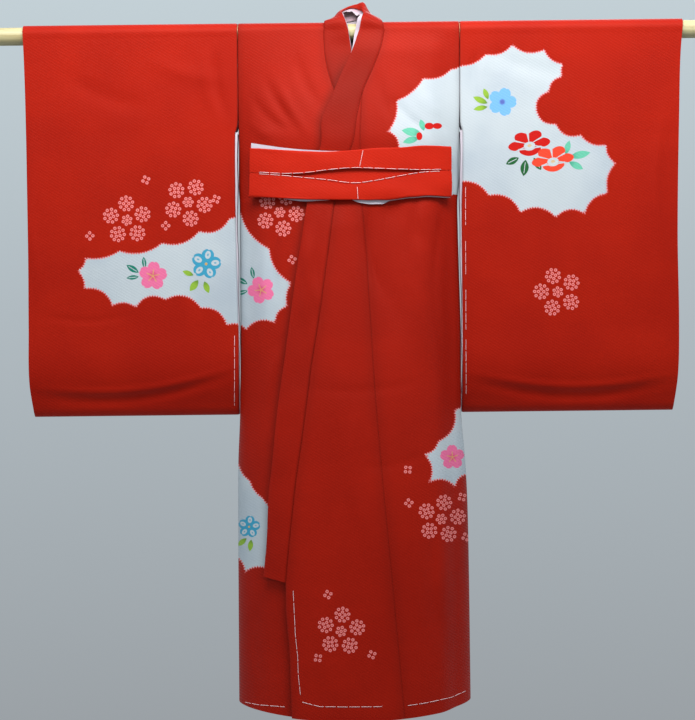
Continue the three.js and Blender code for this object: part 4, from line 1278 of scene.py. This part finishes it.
def make_sleeve(name, side, clouds):
    """A sleeve and the strip of white lining along its open inner edge."""
    moved, crease, u = sleeve_grids(
        side, name, lambda z, shift: side * along(SLEEVE_SECTIONS, z, "inner") + shift,
        lambda z, shift: along(CUFF_LINES, z, name), 92)
    # The same weight makes the dent beside the sleeve's seam and the shade painted in it
    seam = seam_weight(u, SLEEVE_WIDTH)[None, :] * (u < 0.5)
    sleeve = cloth_piece(
        f"sleeve_{name}_silk", moved(crease), moved(crease + SILK - SEAM_DEPTH * seam), seam,
        silk_material(f"red_silk_sleeve_{name}", f"sleeve_{name}"), clouds, closed_rows=True)
    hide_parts(f"sleeve_{name}")
    moved, crease, u = sleeve_grids(
        side, name, lambda z, shift: side * (STRIP_INNER + 0.5 * np.sin(z / 17)) + shift,
        lambda z, shift: side * STRIP_OUTER + shift, 12, below=STRIP_TOP)
    lining = cloth_piece(
        f"sleeve_lining_{name}_silk", moved(crease - STRIP_GAP - LINING_SILK),
        moved(crease - STRIP_GAP), 0.0, LINING, layer_slot="white_lining")
    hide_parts(f"sleeve_lining_{name}")


make_sleeve("right", -1, ("low_sleeve",))
make_sleeve("left", 1, ("shoulder",))

# Waist band. The garment's tie strings are folded to a flat band across the front: one cloth
# whose long edges turn over to the front and are tacked with white thread.
BAND_LINES = {
    "x": [-141.5, -95, -62, -31, 8, 39, 73, 106, 146.5],
    "top": [-175.5, -180.4, -183, -184.4, -182.6, -179.8, -179, -176, -176],
    "upper": [-211.9, -216.6, -216.4, -212.8, -210.2, -211.3, -212.5, -213, -211.3],
    "lower": [-212.6, -217.9, -222.4, -226.4, -232.6, -228.2, -221, -214.9, -212],
    "bottom": [-248.2, -252.6, -255.2, -256.6, -257, -256.5, -254.6, -252, -249.6],
    "lift": [0, 0.6, 1.4, 2.4, 3, 2.6, 1.6, 0.6, 0],
}
BAND_LINING = {
    "x": [-141.5, -110, -70, -40, 0, 16, 48, 60, 146.5],
    "above": [8, 5, 2.8, 2.2, 0, -1.5, -1.5, -1.5, -1.5],
    "below": [-1.5, -1.5, 2.6, 1, -1.5, 4, 6, 1.6, 1.6],
}
BAND_SILK = 1.1
BAND_LAYER = 10.1
BAND_FOLD = 0.95
UPPER_LIFT = 0.6
BAND_COLUMNS = 118
BAND_LINING_LAYER = 7.6


def band_path(x, stretch, share):
    """Height and layer of the folded band: one of its five stretches, and the share along it."""
    line = {name: along(BAND_LINES, x, name, "x") for name in ("top", "upper", "lower", "bottom", "lift")}
    front = BAND_LAYER + 2 * BAND_FOLD
    top, bottom = line["top"] - BAND_FOLD, line["bottom"] + BAND_FOLD
    turn = share * math.pi
    puff = 0.5 * np.sin(share * math.pi)
    if stretch == "upper flap":
        lift = UPPER_LIFT * line["lift"] * (1 - share)
        return line["upper"] + (top - line["upper"]) * share, front + lift + puff
    if stretch == "top fold":
        return top + BAND_FOLD * np.sin(turn), BAND_LAYER + BAND_FOLD * (1 + np.cos(turn))
    if stretch == "back":
        return top + (bottom - top) * share, BAND_LAYER + 0 * x
    if stretch == "bottom fold":
        return bottom - BAND_FOLD * np.sin(turn), BAND_LAYER + BAND_FOLD * (1 - np.cos(turn))
    return bottom + (line["lower"] - bottom) * share, front + line["lift"] * share + puff


def band_surface():
    """Grid of the band's middle surface, from the upper flap's free edge to the lower one's."""
    x = np.linspace(BAND_LINES["x"][0], BAND_LINES["x"][-1], BAND_COLUMNS)
    parts = []
    for stretch, count in (("upper flap", 14), ("top fold", 6), ("back", 16), ("bottom fold", 6),
                           ("lower flap", 15)):
        share = np.linspace(0, 1, count, endpoint=stretch == "lower flap")
        across, along_it = np.meshgrid(x, share)
        height, layer = band_path(across, stretch, along_it)
        ripple = 0.35 * np.sin(across / 17 + height / 9) + 0.3 * np.sin(across / 41 - height / 23 + 1)
        flap = 1.0 if "flap" in stretch else 0.0
        layer = layer + flap * ripple * 0.6
        parts.append(body_layer(-1, turn_at(across, height), height, layer, band_tuck))
    return np.concatenate(parts)


band_middle = band_surface()
half_silk = grid_normals(band_middle) * BAND_SILK / 2
band = cloth_piece(
    "waist_band_silk", band_middle - half_silk, band_middle + half_silk, 0.0,
    silk_material("red_silk_band", "band", BAND_RED, BAND_RED_DARK),
    inside_material=silk_material("red_silk_band_inside", "band", BAND_RED, BAND_RED_DARK),
)
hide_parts("waist_band")

# Waist band lining. A strip of white silk behind the band, which shows as slivers along its
# top edge on one side and under it in the middle.
across, down = np.meshgrid(
    np.linspace(BAND_LINES["x"][0], BAND_LINES["x"][-1], BAND_COLUMNS), np.linspace(0, 1, 30))
high = along(BAND_LINES, across, "top", "x") + along(BAND_LINING, across, "above", "x")
low = along(BAND_LINES, across, "bottom", "x") - along(BAND_LINING, across, "below", "x")
height = high + (low - high) * down
band_lining = cloth_piece(
    "waist_band_lining_silk",
    body_layer(-1, turn_at(across, height), height, BAND_LINING_LAYER, band_tuck),
    body_layer(-1, turn_at(across, height), height, BAND_LINING_LAYER + LINING_SILK, band_tuck),
    0.0, LINING, layer_slot="white_lining",
)
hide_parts("waist_band_lining")

# Basting threads. Loose white running stitches that hold the hems, the front edge, the sleeves'
# inner edges and the band's flaps flat, laid on the cloth as thin round threads.
THREAD_RADIUS = 0.32
THREAD_SIDES = 6
THREAD_STEP = 3.0
STITCH_LENGTH = 15
STITCH_GAP = 2.2
# Each thread: the piece that it lies on, and its way across the picture plane
THREADS = [
    ("sleeve_right_silk", [(-177.6, -452), (-178.9, -559)]),
    ("sleeve_left_silk", [(171.4, -233), (170.8, -290)]),
    ("sleeve_left_silk", [(170.6, -314), (170.2, -365)]),
    ("sleeve_left_silk", [(170, -387), (169.6, -447)]),
    ("sleeve_left_silk", [(169.4, -462), (168.8, -545)]),
    ("okumi_left_silk", [(-94, -836), (-91.5, -903), (-88.4, -935), (-87.8, -963), (-84.8, -993)]),
    ("okumi_left_silk", [(-82, -1003), (-56, -1010), (-12, -1011), (38, -1011)]),
    ("front_right_silk", [(-168, -1002), (-148.7, -1006), (-106.8, -1010)]),
    ("front_left_silk", [(76, -1010), (104.8, -1006), (142.4, -998), (165, -988)]),
]
BAND_THREAD_INSET = 1.0
BAND_THREAD_ENDS = (-128, 132)
# Two upright stitches across the band's flaps, on the picture plane
BAND_UPRIGHTS = [[(18.3, -176), (13, -200)], [(9, -231), (9.9, -249)]]


def seen_on(tree, route):
    """Points of a piece's surface under a route drawn on the picture plane, seen from the eye."""
    route = np.array(route, float)
    length = np.concatenate([[0], np.cumsum(np.hypot(*np.diff(route, axis=0).T))])
    places = np.arange(0, length[-1], THREAD_STEP)
    eye = Vector((EYE_X * MM, -EYE_DISTANCE * MM, EYE_Z * MM))
    points = []
    for x, z in zip(np.interp(places, length, route[:, 0]), np.interp(places, length, route[:, 1])):
        way = (Vector((x * MM, 0, z * MM)) - eye).normalized()
        hit, _, _, _ = tree.ray_cast(eye, way)
        if hit is not None:
            points.append(np.array(hit - way * THREAD_RADIUS * MM) / MM)
    return np.array(points)


def stitches(route):
    """The route cut into running stitches: pieces of a stitch's length with short gaps between."""
    length = np.concatenate([[0], np.cumsum(np.linalg.norm(np.diff(route, axis=0), axis=1))])
    starts = np.arange(0, length[-1] - STITCH_GAP, STITCH_LENGTH + STITCH_GAP)
    cut = []
    for start in starts:
        places = np.linspace(start, min(start + STITCH_LENGTH, length[-1]), 6)
        cut.append(np.stack([np.interp(places, length, route[:, k]) for k in range(3)], axis=1))
    return cut


def thread_tube(route):
    """Rings round a route, with the two ends closed by flat quads."""
    way = np.gradient(route, axis=0)
    way /= np.linalg.norm(way, axis=1, keepdims=True)
    aside = np.cross(way, [0.0, 1.0, 0.0])
    aside /= np.linalg.norm(aside, axis=1, keepdims=True)
    over = np.cross(way, aside)
    angle = np.linspace(0, 2 * math.pi, THREAD_SIDES, endpoint=False)
    ring = aside[:, None] * np.cos(angle)[:, None] + over[:, None] * np.sin(angle)[:, None]
    points = route[:, None] + ring * THREAD_RADIUS
    faces = grid_quads(len(route), THREAD_SIDES, closed_columns=True)
    cap = np.array([[0, 1, 2, 3], [0, 3, 4, 5]])
    end = (len(route) - 1) * THREAD_SIDES
    return points.reshape(-1, 3), np.concatenate([faces[:, ::-1], cap, cap[:, ::-1] + end])


def band_thread(name, shift, start, end):
    """A route on one of the band's flaps, beside its free edge."""
    x = np.linspace(start, end, 90)
    line = {key: along(BAND_LINES, x, key, "x") for key in ("upper", "lower", "lift")}
    lift = line["lift"] * (UPPER_LIFT if name == "upper" else 1.0)
    height = line[name] + shift
    layer = BAND_LAYER + 2 * BAND_FOLD + lift + BAND_SILK / 2 + 2 * THREAD_RADIUS
    return body_layer(-1, turn_at(x, height), height, layer, band_tuck)


def thread_material():
    """White cotton thread with a fine twist along it."""
    nodes = Nodes("white_basting_thread")
    twist = nodes.noise(nodes.add("ShaderNodeTexCoord", output=3), 900.0, 1.0)
    tint = nodes.mix(twist.step(0.35, 0.7), colour(222, 200, 202), colour(206, 172, 176))
    inputs = {"Base Color": tint, "Roughness": twist * 0.2 + 0.6}
    shader = nodes.add("ShaderNodeBsdfPrincipled", {}, inputs)
    return nodes.finish(shader)


graph = bpy.context.evaluated_depsgraph_get()
routes = []
for piece_name, route in THREADS:
    tree = BVHTree.FromObject(bpy.data.objects[piece_name], graph)
    routes += stitches(seen_on(tree, route))
routes += stitches(band_thread("upper", BAND_THREAD_INSET, *BAND_THREAD_ENDS))
routes += stitches(band_thread("lower", -BAND_THREAD_INSET, *BAND_THREAD_ENDS))
band_tree = BVHTree.FromObject(band, graph)
for route in BAND_UPRIGHTS:
    routes.append(seen_on(band_tree, route))
thread_points, thread_faces, first = [], [], 0
for route in routes:
    points, faces = thread_tube(route)
    thread_points.append(points)
    thread_faces.append(faces + first)
    first += len(points)
threads = make_piece(
    "basting_threads", np.concatenate(thread_points), np.concatenate(thread_faces), [thread_material()])
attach(threads, "root")

# Camera at the photograph's viewing point: level with the middle of the garment, far back,
# and rolled a little, as the pole slopes in the picture
CAMERA_ROLL = 0.65
camera_data = bpy.data.cameras.new("camera")
camera_data.lens = 80
camera_data.sensor_width = 36
camera_data.clip_end = 20
camera = bpy.data.objects.new("camera", camera_data)
camera.location = (EYE_X * MM, -EYE_DISTANCE * MM, EYE_Z * MM)
camera.rotation_euler = (math.radians(90), math.radians(CAMERA_ROLL), 0)
bpy.context.scene.collection.objects.link(camera)
bpy.context.scene.camera = camera

# Floor and studio light: a pale disc far below, a soft grey surround, and broad lamps above
FLOOR_Z = -1650
FLOOR_RADIUS = 1300
FLOOR_RINGS = 12
FLOOR_SIDES = 64


def plain_floor():
    """A pale disc of fine rings."""
    radius = np.linspace(10, FLOOR_RADIUS, FLOOR_RINGS)
    angle = np.linspace(0, 2 * math.pi, FLOOR_SIDES, endpoint=False)
    ring, turn = np.meshgrid(radius, angle, indexing="ij")
    points = np.stack([ring * np.cos(turn), ring * np.sin(turn), np.full_like(ring, FLOOR_Z)], axis=-1)
    nodes = Nodes("pale_floor")
    grain = nodes.noise(nodes.add("ShaderNodeTexCoord", output=3), 30.0, 3.0)
    tint = nodes.mix(grain.step(0.3, 0.7), colour(200, 205, 208), colour(208, 212, 214))
    shader = nodes.add("ShaderNodeBsdfPrincipled", {}, {"Base Color": tint, "Roughness": 0.8})
    faces = grid_quads(FLOOR_RINGS, FLOOR_SIDES, closed_columns=True)
    return make_piece("floor", points.reshape(-1, 3), faces, [nodes.finish(shader)])


floor = plain_floor()

world = bpy.data.worlds.new("soft_grey")
world.use_nodes = True
world.node_tree.nodes.clear()
sky = Nodes.__new__(Nodes)
sky.tree = world.node_tree
_, _, sky_up = sky.split(sky.add("ShaderNodeTexCoord", output=0))
sky_tint = sky.add("ShaderNodeValToRGB", {"stops": [
    (0.0, colour(146, 150, 154)), (0.55, colour(176, 186, 192)), (1.0, colour(204, 218, 224))]},
    [sky_up * 1.6 + 0.5])
background = sky.add("ShaderNodeBackground", {}, {"Color": sky_tint, "Strength": 1.0})
world_output = world.node_tree.nodes.new("ShaderNodeOutputWorld")
world.node_tree.links.new(background.link, world_output.inputs["Surface"])
bpy.context.scene.world = world


def lamp(name, place, target, size, power, tint):
    """An area lamp, wide and high as size says, that points at a target."""
    data = bpy.data.lights.new(name, "AREA")
    data.shape = "RECTANGLE"
    data.size, data.size_y = size
    data.energy = power
    data.color = tint
    holder = bpy.data.objects.new(name, data)
    holder.location = place
    way = np.array(target) - np.array(place)
    flat = math.hypot(way[0], way[1])
    holder.rotation_euler = (math.atan2(flat, -way[2]), 0, math.atan2(way[1], way[0]) - math.pi / 2)
    bpy.context.scene.collection.objects.link(holder)


lamp("key_lamp", (0.05, -0.72, 0.72), (0, 0, -0.1), (1.5, 0.4), 34, (1.0, 0.98, 0.96))
lamp("side_lamp", (-1.8, -1.0, -0.1), (0, 0, -0.5), (0.4, 1.4), 4.5, (1.0, 0.99, 0.97))
lamp("right_lamp", (1.8, -1.0, -0.1), (0.35, 0, -0.4), (0.4, 1.4), 2.6, (1.0, 0.99, 0.97))
lamp("rim_lamp", (0.4, 1.6, 1.2), (0, 0, -0.2), (1.2, 1.2), 14, (1.0, 1.0, 1.0))

bpy.context.scene.view_settings.view_transform = "Standard"
